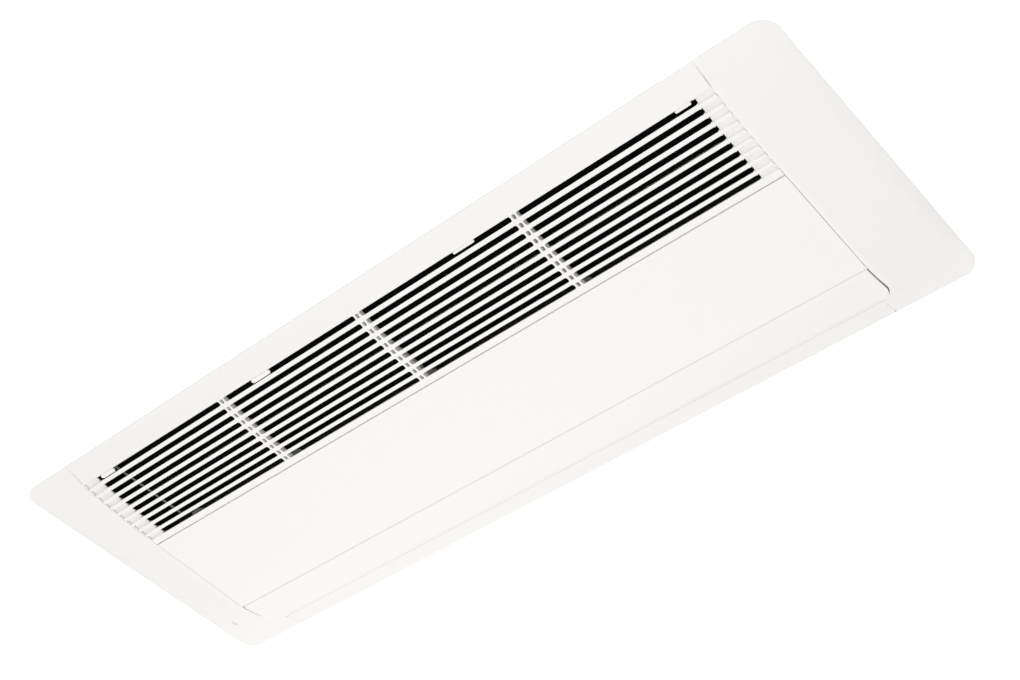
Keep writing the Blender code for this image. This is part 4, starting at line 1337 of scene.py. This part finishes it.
@dataclass
class CentrePanel:
    """Closed middle strip, a shallow channel whose flanges seat under the base frame."""

    flange: float = 2.2 * MM
    edge_radius: float = 0.6 * MM
    rows: int = 41

    def build(self) -> None:
        """Model the strip from its section."""
        start = PANEL.grille_end + PANEL.seam_gap
        end = PANEL.vane_start - PANEL.seam_gap
        face_rows = spread(start, end, self.rows)
        wall_end = end - 2 * self.flange
        wall_start = wall_end - self.flange
        inner_start = start + self.flange
        points = PANEL.face(face_rows)
        points += PANEL.face([end, wall_end], PANEL.wall)
        points += [(wall_end, PANEL.seat_height), (wall_start, PANEL.seat_height)]
        inner_rows = [y for y in reversed(face_rows) if inner_start < y < wall_start]
        points += PANEL.face([wall_start] + inner_rows + [inner_start], PANEL.wall)
        points += [(inner_start, PANEL.seat_height), (start, PANEL.seat_height)]
        strip = Bench.section("middle_strip", points, -PANEL.piece_half, PANEL.piece_half)
        Bench.soften(strip, self.edge_radius, segments=3, limit=50.0)
        Bench.finish(strip, PANEL_PLASTIC, "centre_panel")


@dataclass
class AirVane:
    """Full-length air vane: a crowned blade with a rolled outer edge and a round hinge edge."""

    corner: float = 27 * MM
    end_gap: float = 2 * MM
    edge_radius: float = 0.8 * MM
    rows: int = 25
    roll_rows: int = 13
    hinge_steps: int = 12
    corner_steps: int = 24

    def face(self, rows: Sequence[float], lift: float = 0.0) -> list[Point]:
        """Return points of the face: flush at the hinge, proud of the panel at the outer edge."""
        crown, start, width = PANEL.vane_crown, PANEL.vane_start, PANEL.vane_width
        return [(y, z - crown * ((y - start) / width) ** 2) for y, z in PANEL.face(rows, lift)]

    def build(self) -> None:
        """Model the blade from its section, then round its outer corners."""
        half = PANEL.seam_x - self.end_gap
        pivot, thickness = PANEL.vane_pivot, PANEL.vane_thickness
        roll_y = PANEL.vane_end - PANEL.vane_roll
        face_rows = spread(pivot[0], roll_y, self.rows)[1:-1]
        points = arc(pivot, PANEL.vane_hinge_radius, 90, 270, self.hinge_steps)
        points += self.face(face_rows)
        for share in spread(0.0, 1.0, self.roll_rows):
            points += self.face([roll_y + share * PANEL.vane_roll], share ** 2 * PANEL.vane_drop)
        points += self.face([PANEL.vane_end], PANEL.vane_drop + thickness / 2)
        points += self.face(reversed(face_rows), thickness)
        vane = Bench.section("air_vane", points, -half, half)
        centre = (half - self.corner, PANEL.vane_end - self.corner)
        beyond = (half + self.end_gap, PANEL.vane_end + self.end_gap)
        corner = arc(centre, self.corner, 0, 90, self.corner_steps)
        corner += [(centre[0], beyond[1]), beyond, (beyond[0], centre[1])]
        below = -2 * PANEL.depth(PANEL.vane_start)
        for side in Side:
            outline = [(side.value * x, y) for x, y in corner]
            Bench.boolean(vane, Bench.section("corner", outline, below, 0.0, Axis.UP))
        Bench.soften(vane, self.edge_radius, segments=3, limit=40.0)
        Bench.finish(vane, PANEL_PLASTIC, "vane", body=Body.VANE)


@dataclass
class OutletLip:
    """Strip beyond the outlet: an inner wall up to the base frame and a face out to the rim."""

    flange: float = 2.2 * MM
    edge_radius: float = 0.6 * MM
    roll: float = 8 * MM
    roll_drop: float = 1 * MM
    roll_rows: int = 7
    rows: int = 10
    rim_wall: float = 0.3 * MM

    def build(self) -> None:
        """Model the strip from its section."""
        start, end = PANEL.lip_start, PANEL.width
        wall_end = start + self.flange
        face_rows = spread(start + self.roll, end - PANEL.rim_width, self.rows)
        points = []
        for share in spread(0.0, 1.0, self.roll_rows)[:-1]:
            lift = (1 - share) ** 2 * self.roll_drop
            points += PANEL.face([start + share * self.roll], lift)
        points += PANEL.face(face_rows)
        points += [(end, -PANEL.rim_depth), (end, 0.0), (end - PANEL.rim_width, 0.0)]
        for y in reversed([row for row in face_rows[:-1] if row > wall_end]):
            points.append((y, min(-PANEL.depth(y) + PANEL.wall, -self.rim_wall)))
        points.append((wall_end, -PANEL.depth(wall_end) + PANEL.wall))
        points += [(wall_end, PANEL.seat_height), (start, PANEL.seat_height)]
        half = PANEL.tongue_x - PANEL.tongue_gap / 2
        lip = Bench.section("lip_strip", points, -half, half)
        Bench.soften(lip, self.edge_radius, segments=3, limit=50.0)
        Bench.finish(lip, PANEL_PLASTIC, "outlet_lip")


@dataclass
class IndicatorLens:
    """Oval lens, set a little back in its hole in the left end, and dressed grey as painted shade for
    its recess.
    """

    inset: Point = (46 * MM, 78 * MM)
    half_length: float = 6 * MM
    radius: float = 2.4 * MM
    roundness: float = 0.98
    recess: float = 0.5 * MM
    thickness: float = 1.5 * MM
    clearance: float = 0.35 * MM
    edge_radius: float = 0.35 * MM

    def build(self) -> None:
        """Model the lens and dress it."""
        lens = self._oval("oval_lens", 0.0, self.recess, self.recess + self.thickness)
        Bench.soften(lens, self.edge_radius, segments=3)
        # Painted shade: the grey stands in for the shade in the lens's recess
        Bench.finish(lens, LENS_PAINTED_SHADE, "indicator_lens")

    def hole(self) -> bpy.types.Object:
        """Return a solid to cut the lens's hole with."""
        return self._oval("lens_hole", self.clearance, -2 * PANEL.wall, 2 * PANEL.wall)

    def _oval(self, name: str, growth: float, low: float, high: float) -> bpy.types.Object:
        """Model an oval prism that stands square on the cap's face.

        Args:
            name: Name of the piece.
            growth: How far it is larger than the lens all round.
            low: Height of its lower end above the face.
            high: Height of its upper end.

        Returns:
            The prism.
        """
        half_x, half_y = self.radius + growth, self.half_length + growth
        outline = rounded_rectangle((-half_x, -half_y), (half_x, half_y), half_x * self.roundness)
        prism = Bench.section(name, outline, low, high, Axis.UP)
        x, y = PANEL.half_length - self.inset[0], PANEL.width - self.inset[1]
        depth = PANEL.cap_depth(x, y)
        slope_x = (PANEL.cap_depth(x + MM, y) - depth) / MM
        slope_y = (PANEL.cap_depth(x, y + MM) - depth) / MM
        up = Vector((-slope_x, slope_y, 1.0)).normalized()
        return Bench.stand(prism, Vector((-x, y, -depth)), up)


@dataclass
class HingeHooks:
    """Tongues with a half-oval end, under the base frame at the grille's hinge edge, dressed grey as
    painted shade for the shadow they lie in.
    """

    count: int = 4
    edge_radius: float = 0.6 * MM
    steps: int = 28

    def build(self) -> None:
        """Model each hook from its outline in plan."""
        for number in range(1, self.count + 1):
            span = Span.of(f"hinge_hook_{number}")
            outline = [(span.middle.x + across * span.size.x / 2, span.high.y + reach * span.size.y)
                       for across, reach in arc((0.0, 0.0), 1.0, 180, 360, self.steps)]
            hook = Bench.section(
                f"hook_tongue_{number}", outline, span.low.z, span.high.z, Axis.UP)
            Bench.soften(hook, self.edge_radius, segments=3, limit=50.0)
            # Painted shade: grey stands in for the shadow behind the last row of slots
            Bench.finish(hook, GREY_PLASTIC_AND_SHADE, f"hinge_hook_{number}")


@dataclass
class AirFilter:
    """One filter's frame: four rails with softened edges, and cross ribs over the mesh."""

    side: Side
    rail: float = 3.5 * MM
    rib: float = 2.5 * MM
    rib_pitch: float = 95 * MM
    seat: float = 0.3 * MM
    edge_radius: float = 0.5 * MM

    def build(self) -> None:
        """Model the frame and dress it."""
        node = f"air_filter_{self.side.label}"
        span = Span.of(node)
        rib_low = Span.of(f"filter_mesh_{self.side.label}").high.z + self.seat
        rails = Vector((self.rail, self.rail, 0.0))
        low, high = span.low + rails, span.high - rails
        rim = Bench.block(f"filter_frame_{self.side.label}", span.low, span.high)
        Bench.boolean(rim, Bench.block(
            "hole", (low.x, low.y, low.z - OVERSHOOT), (high.x, high.y, rib_low)))
        bays = round((high.x - low.x) / self.rib_pitch)
        pitch = (high.x - low.x + self.rib) / bays
        windows = []
        for bay in range(bays):
            start = low.x + bay * pitch
            windows.append(Bench.block(
                "window", (start, low.y, rib_low - OVERSHOOT),
                (start + pitch - self.rib, high.y, high.z + OVERSHOOT)))
        Bench.boolean(rim, Bench.join("windows", windows))
        Bench.soften(rim, self.edge_radius)
        Bench.finish(rim, GREY_PLASTIC_AND_SHADE, node)


@dataclass
class BaseFrame:
    """Frame against the ceiling, with softened intake and outlet openings; dressed black as painted
    shade, so that the inside of the unit reads dark through the slots.
    """

    corner: float = 50 * MM
    opening_corner: float = 3 * MM
    slot_margin: float = 13 * MM
    intake_margin: float = 7.2 * MM
    hinge_cover: float = 8.5 * MM
    outlet_margin: float = 11 * MM
    edge_radius: float = 0.6 * MM
    corner_steps: int = 16

    def build(self) -> None:
        """Model the frame and dress it."""
        span = Span.of("base_frame")
        plate = Bench.block("ceiling_frame", span.low, span.high)
        Bench.round_uprights(plate, self.corner, self.corner_steps)
        half = PANEL.field_half + self.slot_margin
        intake = (PANEL.field_start - self.intake_margin, PANEL.grille_end - self.hinge_cover)
        outlet = (PANEL.vane_start + self.outlet_margin, PANEL.lip_start)
        for low_y, high_y in (intake, outlet):
            outline = rounded_rectangle((-half, low_y), (half, high_y), self.opening_corner)
            Bench.boolean(plate, Bench.section(
                "opening", outline, span.low.z - OVERSHOOT, span.high.z + OVERSHOOT, Axis.UP))
        Bench.soften(plate, self.edge_radius)
        # Painted shade: black stands in for the shade inside the unit, seen through the slots
        Bench.finish(plate, BLACK_PLASTIC_AND_SHADE, "base_frame")


@dataclass
class OutletDuct:
    """Pale arched liner of the air outlet."""

    wall: float = 3 * MM
    steps: int = 36
    edge_radius: float = 0.5 * MM

    def build(self) -> None:
        """Model the liner from its section."""
        span = Span.of("outlet_duct")
        outline = self._arch(span, 0.0) + self._arch(span, self.wall)[::-1]
        duct = Bench.section("outlet_liner", outline, span.low.x, span.high.x)
        Bench.soften(duct, self.edge_radius)
        Bench.finish(duct, PANEL_PLASTIC, "outlet_duct")

    def _arch(self, span: Span, inset: float) -> list[Point]:
        """Draw the arch, up one side and down the other.

        Args:
            span: Box of the duct.
            inset: How far it is set in from the duct's outer side.

        Returns:
            Its points.
        """
        outer = span.size.y / 2
        middle, radius = span.middle.y, outer - inset
        points = arc((middle, span.high.z - outer), radius, 180, 0, self.steps)
        return [(middle - radius, span.low.z)] + points + [(middle + radius, span.low.z)]


@dataclass
class Screw:
    """Pan-head screw with a cross recess, modelled once and copied."""

    radius: float = 3.4 * MM
    height: float = 2.0 * MM
    dome: float = 1.4 * MM
    recess_length: float = 3.8 * MM
    recess_width: float = 0.8 * MM
    recess_depth: float = 1.1 * MM
    sides: int = 20

    def row(self, name: str, places: Screws) -> None:
        """Set joined copies of the screw.

        Args:
            name: Name of the joined piece.
            places: Foot and outward direction of each screw.
        """
        screw = self._model()
        heads = [Bench.stand(Bench.copy(screw, f"{name}_{number}"), foot, out)
                 for number, (foot, out) in enumerate(places, start=1)]
        bpy.data.objects.remove(screw)
        Bench.finish(Bench.join(name, heads), PLATED_STEEL, smooth=45.0)

    def _model(self) -> bpy.types.Object:
        """Model one head: a cylinder with a domed top and a cross cut into it.

        Returns:
            The head, standing on the XY plane.
        """
        Bench.clear()
        bpy.ops.mesh.primitive_cylinder_add(
            vertices=self.sides, radius=self.radius, depth=self.height,
            location=(0, 0, self.height / 2))
        screw = bpy.context.object
        Bench.settle()
        Bench.round_top(screw, self.height, self.dome, 4)
        low, high = self.height - self.recess_depth, self.height + OVERSHOOT
        half = (self.recess_length / 2, self.recess_width / 2)
        for half_x, half_y in (half, half[::-1]):
            Bench.boolean(screw, Bench.block("cross", (-half_x, -half_y, low),
                                             (half_x, half_y, high)))
        return screw


@dataclass
class Housing:
    """Sheet-steel housing: lid with a folded skirt and pressed ribs, channels and end walls."""

    sheet: float = 1.0 * MM
    fit: float = 0.2 * MM
    skirt: float = 14 * MM
    fold: float = 18 * MM
    bend: float = 2.5 * MM
    rib_count: int = 3
    rib_inset: float = 70 * MM
    rib_width: float = 26 * MM
    rib_roundness: float = 0.98
    rib_round: float = 2.0 * MM
    bead_radius: float = 3 * MM
    bead_inset: float = 60 * MM
    bead_heights: tuple[float, ...] = (42 * MM, 88 * MM)
    edge_radius: float = 0.3 * MM
    screw_inset: float = 45 * MM
    long_screws: int = 9
    end_screws: int = 4

    def __post_init__(self) -> None:
        """Read the lid's box and its flat height from the frame."""
        self.lid = Span.of("housing_top")
        self.lid_top = self.lid.low.z + self.sheet
        self.fold_x = self.lid.high.x + self.fit + self.sheet

    def build(self) -> None:
        """Model the lid, the walls and their screws."""
        self._lid()
        self._channel("intake", self.lid.low.y, 1)
        self._channel("outlet", self.lid.high.y, -1)
        for side in Side:
            node = f"housing_{side.label}_wall"
            span = Span.of(node)
            wall = Bench.block(f"end_plate_{side.label}", span.low, span.high)
            Bench.soften(wall, self.edge_radius)
            Bench.finish(wall, ZINC_SHEET, node, smooth=SHEET_SMOOTH)
        Screw().row("housing_screws", self._lid_screws() + self._fold_screws())

    def _across(self, inset: float, count: int) -> list[float]:
        """Return evenly spread places across the lid, set in from its sides."""
        return spread(self.lid.low.y + inset, self.lid.high.y - inset, count)

    def _lid(self) -> None:
        """Model the lid as a shallow tray turned over, with its pressed ribs."""
        reach = Vector((2 * self.fit + 2 * self.sheet, self.fit + self.sheet, 0.0))
        low, high = self.lid.low - reach, self.lid.high + reach
        low.z, high.z = self.lid_top - self.skirt, self.lid_top
        lid = Bench.block("housing_lid", low, high)
        Bench.tray(lid, self.sheet)
        half_length, half, top = self.lid.high.x - self.rib_inset, self.rib_width / 2, self.lid.high.z
        for y in self._across(self.rib_inset, self.rib_count):
            rib = Bench.block("rib", (-half_length, y - half, self.lid_top - self.sheet / 2),
                              (half_length, y + half, top))
            Bench.round_uprights(rib, half * self.rib_roundness, 8)
            Bench.round_top(rib, top, self.rib_round, 3)
            Bench.boolean(lid, rib, "UNION")
        Bench.soften(lid, self.edge_radius * 2, segments=3, limit=60.0)
        Bench.finish(lid, ZINC_SHEET, "housing_top", smooth=SHEET_SMOOTH)

    def _channel(self, label: str, face_y: float, inward: int) -> None:
        """Model a long wall: a channel whose ends fold round the end walls.

        Args:
            label: Which long wall it is.
            face_y: Place of its outer face.
            inward: 1 where the housing lies towards +Y of it, -1 where it lies towards -Y.
        """
        node = f"housing_{label}_wall"
        span = Span.of(node)
        centre = (self.fold_x - self.bend, self.bend)
        outer = [(self.fold_x, self.fold)] + arc(centre, self.bend, 0, -90, 6)
        inner = arc(centre, self.bend - self.sheet, -90, 0, 6)
        inner.append((self.fold_x - self.sheet, self.fold))
        outline = outer + [(-x, y) for x, y in reversed(outer)]
        outline += [(-x, y) for x, y in reversed(inner)] + inner
        outline = [(x, face_y + inward * y) for x, y in outline]
        wall = Bench.section(f"{label}_channel", outline, span.low.z, span.high.z, Axis.UP)
        half = span.high.x - self.bead_inset
        for height in self.bead_heights:
            section = arc((face_y + inward * self.sheet / 2, height), self.bead_radius,
                          90, 90 + inward * 180, 12)
            Bench.boolean(wall, Bench.section("bead", section, -half, half), "UNION")
        Bench.soften(wall, self.edge_radius, limit=50.0)
        Bench.finish(wall, ZINC_SHEET, node, smooth=SHEET_SMOOTH)

    def _lid_screws(self) -> Screws:
        """Place the screws along the lid's skirt.

        Returns:
            Their feet and directions.
        """
        z, skin = self.lid_top - self.skirt / 2, self.fit + self.sheet
        half_length = self.lid.high.x - self.screw_inset
        places = []
        for x in spread(-half_length, half_length, self.long_screws):
            for y, out in ((self.lid.low.y - skin, -1), (self.lid.high.y + skin, 1)):
                places.append((Vector((x, y, z)), Vector((0, out, 0))))
        for y in self._across(self.screw_inset, self.end_screws):
            for side in Side:
                foot = Vector((side.value * (self.fold_x + skin), y, z))
                places.append((foot, Vector((side.value, 0, 0))))
        return places

    def _fold_screws(self) -> Screws:
        """Place the screws in the folded ends of the long walls.

        Returns:
            Their feet and directions.
        """
        return [(Vector((side.value * self.fold_x, y, height)), Vector((side.value, 0, 0)))
                for side in Side for y in self._across(self.fold / 2, 2)
                for height in self.bead_heights]


@dataclass
class HangerBracket:
    """One hanger bracket: a bent strap with rounded corners, a slot and two screws."""

    number: int
    sheet: float = 2 * MM
    bend: float = 4 * MM
    corner: float = 9 * MM
    slot_width: float = 12 * MM
    slot_length: float = 26 * MM
    slot_offset: float = 23 * MM
    slot_roundness: float = 0.98
    screw_depth: float = 13.5 * MM
    edge_radius: float = 0.35 * MM

    def build(self) -> Screws:
        """Model the bracket and dress it.

        Returns:
            The feet and directions of its screws.
        """
        node = f"hanger_bracket_{self.number}"
        span = Span.of(node)
        sign = math.copysign(1.0, span.middle.x)
        wall_x = min(abs(span.low.x), abs(span.high.x))
        strap = Bench.section(f"hanger_strap_{self.number}", self._outline(span, sign, wall_x),
                              span.low.y, span.high.y, Axis.ACROSS)
        middle = (sign * (wall_x + self.slot_offset), span.middle.y)
        half_x, half_y = self.slot_width / 2, self.slot_length / 2
        slot = rounded_rectangle((middle[0] - half_x, middle[1] - half_y),
                                 (middle[0] + half_x, middle[1] + half_y),
                                 half_x * self.slot_roundness)
        Bench.boolean(strap, Bench.section(
            "slot", slot, span.low.z - OVERSHOOT, span.low.z + 2 * self.sheet, Axis.UP))
        tip, top = wall_x + span.size.x - HAIR, span.high.z - HAIR
        Bench.bevel(strap, lambda e: min(abs(v.co.x) for v in e.verts) > tip
                    and abs(e.verts[0].co.z - e.verts[1].co.z) > MM, self.corner, 6)
        Bench.bevel(strap, lambda e: min(v.co.z for v in e.verts) > top
                    and abs(e.verts[0].co.x - e.verts[1].co.x) > MM, self.corner, 6)
        Bench.soften(strap, self.edge_radius, limit=50.0)
        Bench.finish(strap, ZINC_SHEET, node, smooth=SHEET_SMOOTH)
        foot = Vector((sign * (wall_x + self.sheet), span.middle.y, span.high.z - self.screw_depth))
        apart = Vector((0, span.size.y / 4, 0))
        return [(foot - apart, Vector((sign, 0, 0))), (foot + apart, Vector((sign, 0, 0)))]

    def _outline(self, span: Span, sign: float, wall_x: float) -> list[Point]:
        """Draw the bent strap from the side.

        Args:
            span: Box of the bracket.
            sign: 1 at the right end of the housing, -1 at the left.
            wall_x: Distance of its upright face from the panel's middle.

        Returns:
            Its corner points.
        """
        reach, height = span.size.x, span.size.z
        centre = (self.bend, self.bend)
        outline = arc(centre, self.bend, 180, 270, 8) + [(reach, 0.0), (reach, self.sheet)]
        outline += arc(centre, self.bend - self.sheet, 270, 180, 8)
        outline += [(self.sheet, height), (0.0, height)]
        return [(sign * (wall_x + x), span.low.z + z) for x, z in outline]


@dataclass
class PipeStub:
    """Copper stub whose flared end lies in a chamfered flare nut.

    The flare and the nut's seat lie at shares of the nut's length, and its bores are shares of
    the tube's radius.
    """

    label: str
    wall: float = 0.8 * MM
    flare: float = 1.3
    flare_start: float = 0.4
    flare_end: float = 0.55
    nut_seat: float = 0.45
    nut_bore: float = 1.03
    thread: float = 1.45
    chamfer: float = 0.12
    nut_edge: float = 0.25 * MM

    def build(self) -> None:
        """Model the tube and its nut."""
        tube, nut = Span.of(f"{self.label}_pipe"), Span.of(f"{self.label}_pipe_nut")
        radius, bore = tube.radius, tube.radius - self.wall
        start, end = (nut.low.x - tube.low.x + nut.size.x * share
                      for share in (self.flare_start, self.flare_end))
        profile = [(0.0, bore), (0.0, radius), (start, radius), (end, radius * self.flare)]
        profile += [(end, radius * self.flare - self.wall), (start, bore)]
        pipe = Bench.turned(f"{self.label}_tube", profile, tube.start)
        Bench.finish(pipe, COPPER_TUBE, f"{self.label}_pipe")
        self._nut(nut, radius)

    def _nut(self, span: Span, radius: float) -> None:
        """Model the nut: a hexagon with turned chamfers, bored for the tube and its thread.

        Args:
            span: Box of the nut.
            radius: Outer radius of the tube.
        """
        across, length = span.radius, span.size.x
        corners = arc((span.middle.y, span.middle.z), across, 0, 300, 5)
        nut = Bench.section(f"{self.label}_flare_nut", corners, span.low.x, span.high.x)
        cut, beyond = across * self.chamfer, across + OVERSHOOT
        barrel = [(0.0, 0.0), (0.0, across - cut), (cut / 2, beyond)]
        barrel += [(length - cut / 2, beyond), (length, across - cut), (length, 0.0)]
        Bench.boolean(nut, Bench.turned("barrel", barrel, span.start), "INTERSECT")
        seat, bore, thread = length * self.nut_seat, radius * self.nut_bore, radius * self.thread
        hole = [(-OVERSHOOT, 0.0), (-OVERSHOOT, bore), (seat, bore), (seat + thread - radius, thread)]
        hole += [(length + OVERSHOOT, thread), (length + OVERSHOOT, 0.0)]
        Bench.boolean(nut, Bench.turned("hole", hole, span.start))
        Bench.soften(nut, self.nut_edge)
        Bench.finish(nut, BRASS_NUT, f"{self.label}_pipe_nut")


@dataclass
class Connections:
    """Pipe stubs, drain spigot, cable gland and control cover on the right-hand end wall."""

    drain_wall: float = 2.0 * MM
    drain_barb: float = 1.2 * MM
    drain_barbs: int = 3
    barb_pitch_share: float = 1 / 6
    barb_slope_share: float = 0.9
    gland_bore: float = 5 * MM
    gland_flange_share: float = 0.3
    cover_corner: float = 5 * MM
    cover_rim: float = 9 * MM
    cover_rise: float = 1.2 * MM
    cover_taper: tuple[float, float, float] = (1, 0.96, 0.9)
    cover_screw_inset: float = 4.8 * MM
    edge_radius: float = 0.4 * MM

    def build(self) -> None:
        """Model every connection."""
        for label in ("gas", "liquid"):
            PipeStub(label).build()
        self._drain()
        self._gland()
        self._cover()

    def _drain(self) -> None:
        """Model the drain spigot with a foot and barbs for the hose."""
        span = Span.of("drain_spigot")
        radius, foot = span.radius - self.drain_barb, self.drain_wall
        bore, length = radius - self.drain_wall, span.size.x
        profile = [(0.0, bore), (0.0, radius + 2 * foot), (foot, radius + 2 * foot), (foot, radius)]
        pitch = length * self.barb_pitch_share
        for barb in range(self.drain_barbs):
            x = length - (self.drain_barbs - barb) * pitch
            profile += [(x, radius), (x, span.radius), (x + pitch * self.barb_slope_share, radius)]
        profile += [(length, radius - self.drain_barb / 2), (length, bore)]
        drain = Bench.turned("drain_nozzle", profile, span.start)
        Bench.soften(drain, self.edge_radius, limit=40.0)
        Bench.finish(drain, GREY_PLASTIC_AND_SHADE, "drain_spigot")

    def _gland(self) -> None:
        """Model the cable gland: a flange, a neck and a domed cap with a bore."""
        span = Span.of("cable_gland")
        length, radius = span.size.x, span.radius
        body = (radius + self.gland_bore) / 2
        flange = self.gland_flange_share * length
        profile = [(0.0, self.gland_bore), (0.0, radius), (flange, radius), (flange, body)]
        profile += arc((length - body / 2, body / 2), body / 2, 90, 30, 5)
        gland = Bench.turned("gland_cap", profile + [(length, self.gland_bore)], span.start)
        Bench.soften(gland, self.edge_radius, limit=40.0)
        Bench.finish(gland, BLACK_PLASTIC_AND_SHADE, "cable_gland")

    def _cover(self) -> None:
        """Model the control cover: a plate with a pressed field and a screw at each corner."""
        span = Span.of("control_cover")
        low, high = (span.low.y, span.low.z), (span.high.y, span.high.z)
        outline = rounded_rectangle(low, high, self.cover_corner)
        cover = Bench.section("pressed_cover", outline, span.low.x, span.high.x)
        with Bench.editing(cover):
            Bench.pick(cover, Element.FACES, lambda face: face.normal.x > 0.9)
            bpy.ops.mesh.inset(thickness=self.cover_rim)
            bpy.ops.mesh.extrude_region_move(
                TRANSFORM_OT_translate={"value": (self.cover_rise, 0, 0)})
            bpy.ops.transform.resize(value=self.cover_taper, center_override=span.middle)
        Bench.soften(cover, self.edge_radius, limit=25.0)
        Bench.finish(cover, ZINC_SHEET, "control_cover", smooth=SHEET_SMOOTH)
        inset = self.cover_screw_inset
        Screw().row("cover_screws", [
            (Vector((span.high.x, y, z)), Vector((1, 0, 0)))
            for y in (low[0] + inset, high[0] - inset) for z in (low[1] + inset, high[1] - inset)])


@dataclass(frozen=True)
class Lamp:
    """One soft white area lamp that points at the panel's middle."""

    name: str
    place: tuple[float, float, float]
    size: float
    watts: float

    def build(self, target: Vector) -> None:
        """Add the lamp and turn it to a point.

        Args:
            target: The point, which its place is measured from.
        """
        data = bpy.data.lights.new(self.name, "AREA")
        data.size = self.size
        data.energy = self.watts
        lamp = bpy.data.objects.new(self.name, data)
        lamp.location = target + Vector(self.place)
        lamp.rotation_euler = (-Vector(self.place)).to_track_quat("-Z", "Y").to_euler()
        bpy.context.scene.collection.objects.link(lamp)


@dataclass
class Studio:
    """Camera, soft light and the white ceiling that the panel lies against."""

    camera_place: Vector = field(default_factory=lambda: Vector((1.2499, -0.9484, -1.7230)))
    camera_right: Vector = field(default_factory=lambda: Vector((0.758047, 0.649789, 0.056030)))
    camera_down: Vector = field(default_factory=lambda: Vector((-0.445475, 0.578605, -0.683205)))
    lens: float = 59.20
    sensor: float = 36.0
    daylight: float = 0.671
    ceiling_reach: float = 12.0
    ceiling_gap: float = 0.2 * MM
    ceiling_white: float = 0.8
    corner_steps: int = 20
    lamps: tuple[Lamp, ...] = (
        Lamp("key", (-1.2, 1.6, -1.9), 1.6, 14.75),
        Lamp("fill", (1.3, -2.0, -1.6), 1.8, 13.4),
        Lamp("below", (0.0, 0.0, -2.6), 2.0, 11.95),
        Lamp("upper", (-1.0, -1.4, 2.4), 2.0, 38.0),
    )

    def build(self) -> None:
        """Set up the whole studio."""
        bpy.context.scene.view_settings.view_transform = "Standard"
        self._camera()
        self._daylight()
        self._ceiling()
        for lamp in self.lamps:
            lamp.build(PANEL_ORIGIN + Vector((0.0, PANEL.width / 2, 0.0)))

    def _camera(self) -> None:
        """Place the camera at the photograph's viewing angle."""
        data = bpy.data.cameras.new("camera")
        data.sensor_width = self.sensor
        data.lens = self.lens
        camera = bpy.data.objects.new("camera", data)
        up = -self.camera_down
        back = self.camera_right.cross(up)
        turn = Matrix((self.camera_right, up, back)).transposed().to_4x4()
        camera.matrix_world = Matrix.Translation(PANEL_ORIGIN + self.camera_place) @ turn
        bpy.context.scene.collection.objects.link(camera)
        bpy.context.scene.camera = camera

    def _daylight(self) -> None:
        """Light the scene evenly, with white behind it wherever nothing stands."""
        world = bpy.data.worlds.new("daylight")
        bpy.context.scene.world = world
        world.use_nodes = True
        wiring = Wiring(world.node_tree)
        strength = wiring.add(
            "MapRange", {"To Min": self.daylight, "To Max": 1.0, "Value": wiring.seen()}, "Result")
        wiring.put(world.node_tree.nodes["Background"],
                   {"Strength": strength, "Color": (1.0, 1.0, 1.0, 1.0)})

    def _ceiling(self) -> None:
        """Add the ceiling round the panel, open above it for the housing."""
        middle, gap = (0.0, PANEL.width / 2, 0.0), self.ceiling_gap
        Bench.clear()
        bpy.ops.mesh.primitive_plane_add(size=1.0)
        ceiling = bpy.context.object
        ceiling.name = "ceiling"
        ceiling.scale = (PANEL.length + 2 * gap, PANEL.width + 2 * gap, 1.0)
        ceiling.location = middle
        Bench.settle()
        with Bench.editing(ceiling):
            bpy.ops.mesh.select_all(action="SELECT")
            bpy.ops.mesh.bevel(
                offset=PANEL.corner_radius + gap, segments=self.corner_steps, affect="VERTICES")
            bpy.ops.mesh.delete(type="ONLY_FACE")
            bpy.ops.mesh.select_all(action="SELECT")
            bpy.ops.mesh.extrude_edges_move()
            bpy.ops.transform.resize(
                value=(self.ceiling_reach, self.ceiling_reach * 2, 1.0), center_override=middle)
            bpy.ops.mesh.select_all(action="SELECT")
            bpy.ops.mesh.normals_make_consistent(inside=False)
        if ceiling.data.polygons[0].normal.z > 0:
            ceiling.data.flip_normals()
        ceiling.location = PANEL_ORIGIN
        Bench.settle()
        ceiling.data.materials.append(self._ceiling_paint())

    def _ceiling_paint(self) -> bpy.types.Material:
        """Make paint that reads white from below and is open from above.

        Returns:
            The material.
        """
        material = bpy.data.materials.new("ceiling_paint")
        material.use_nodes = True
        tree = material.node_tree
        tree.nodes.remove(tree.nodes["Principled BSDF"])
        wiring = Wiring(tree)
        paint = wiring.add("BsdfDiffuse", {"Color": (self.ceiling_white,) * 3 + (1.0,)}, "BSDF")
        glow = wiring.add("Emission", {"Strength": wiring.seen()}, "Emission")
        white = wiring.add("AddShader", {0: paint, 1: glow}, "Shader")
        above = wiring.add("NewGeometry", {}, "Backfacing")
        clear = wiring.add("BsdfTransparent", {}, "BSDF")
        surface = wiring.add("MixShader", {"Fac": above, 1: white, 2: clear}, "Shader")
        wiring.put(tree.nodes["Material Output"], {"Surface": surface})
        return material


def main() -> None:
    """Build every sub-assembly in order."""
    logging.basicConfig(level=logging.INFO, format="%(name)s: %(message)s")
    dress_nodes()
    for side in Side:
        EndCap(side).build()
    for assembly in (IntakeGrille, CentrePanel, AirVane, OutletLip, HingeHooks):
        assembly().build()
    for side in Side:
        AirFilter(side).build()
    for assembly in (BaseFrame, OutletDuct, Housing):
        assembly().build()
    screws = []
    for number in range(1, 5):
        screws += HangerBracket(number).build()
    Screw().row("bracket_screws", screws)
    Connections().build()
    Studio().build()


if __name__ == "__main__":
    main()
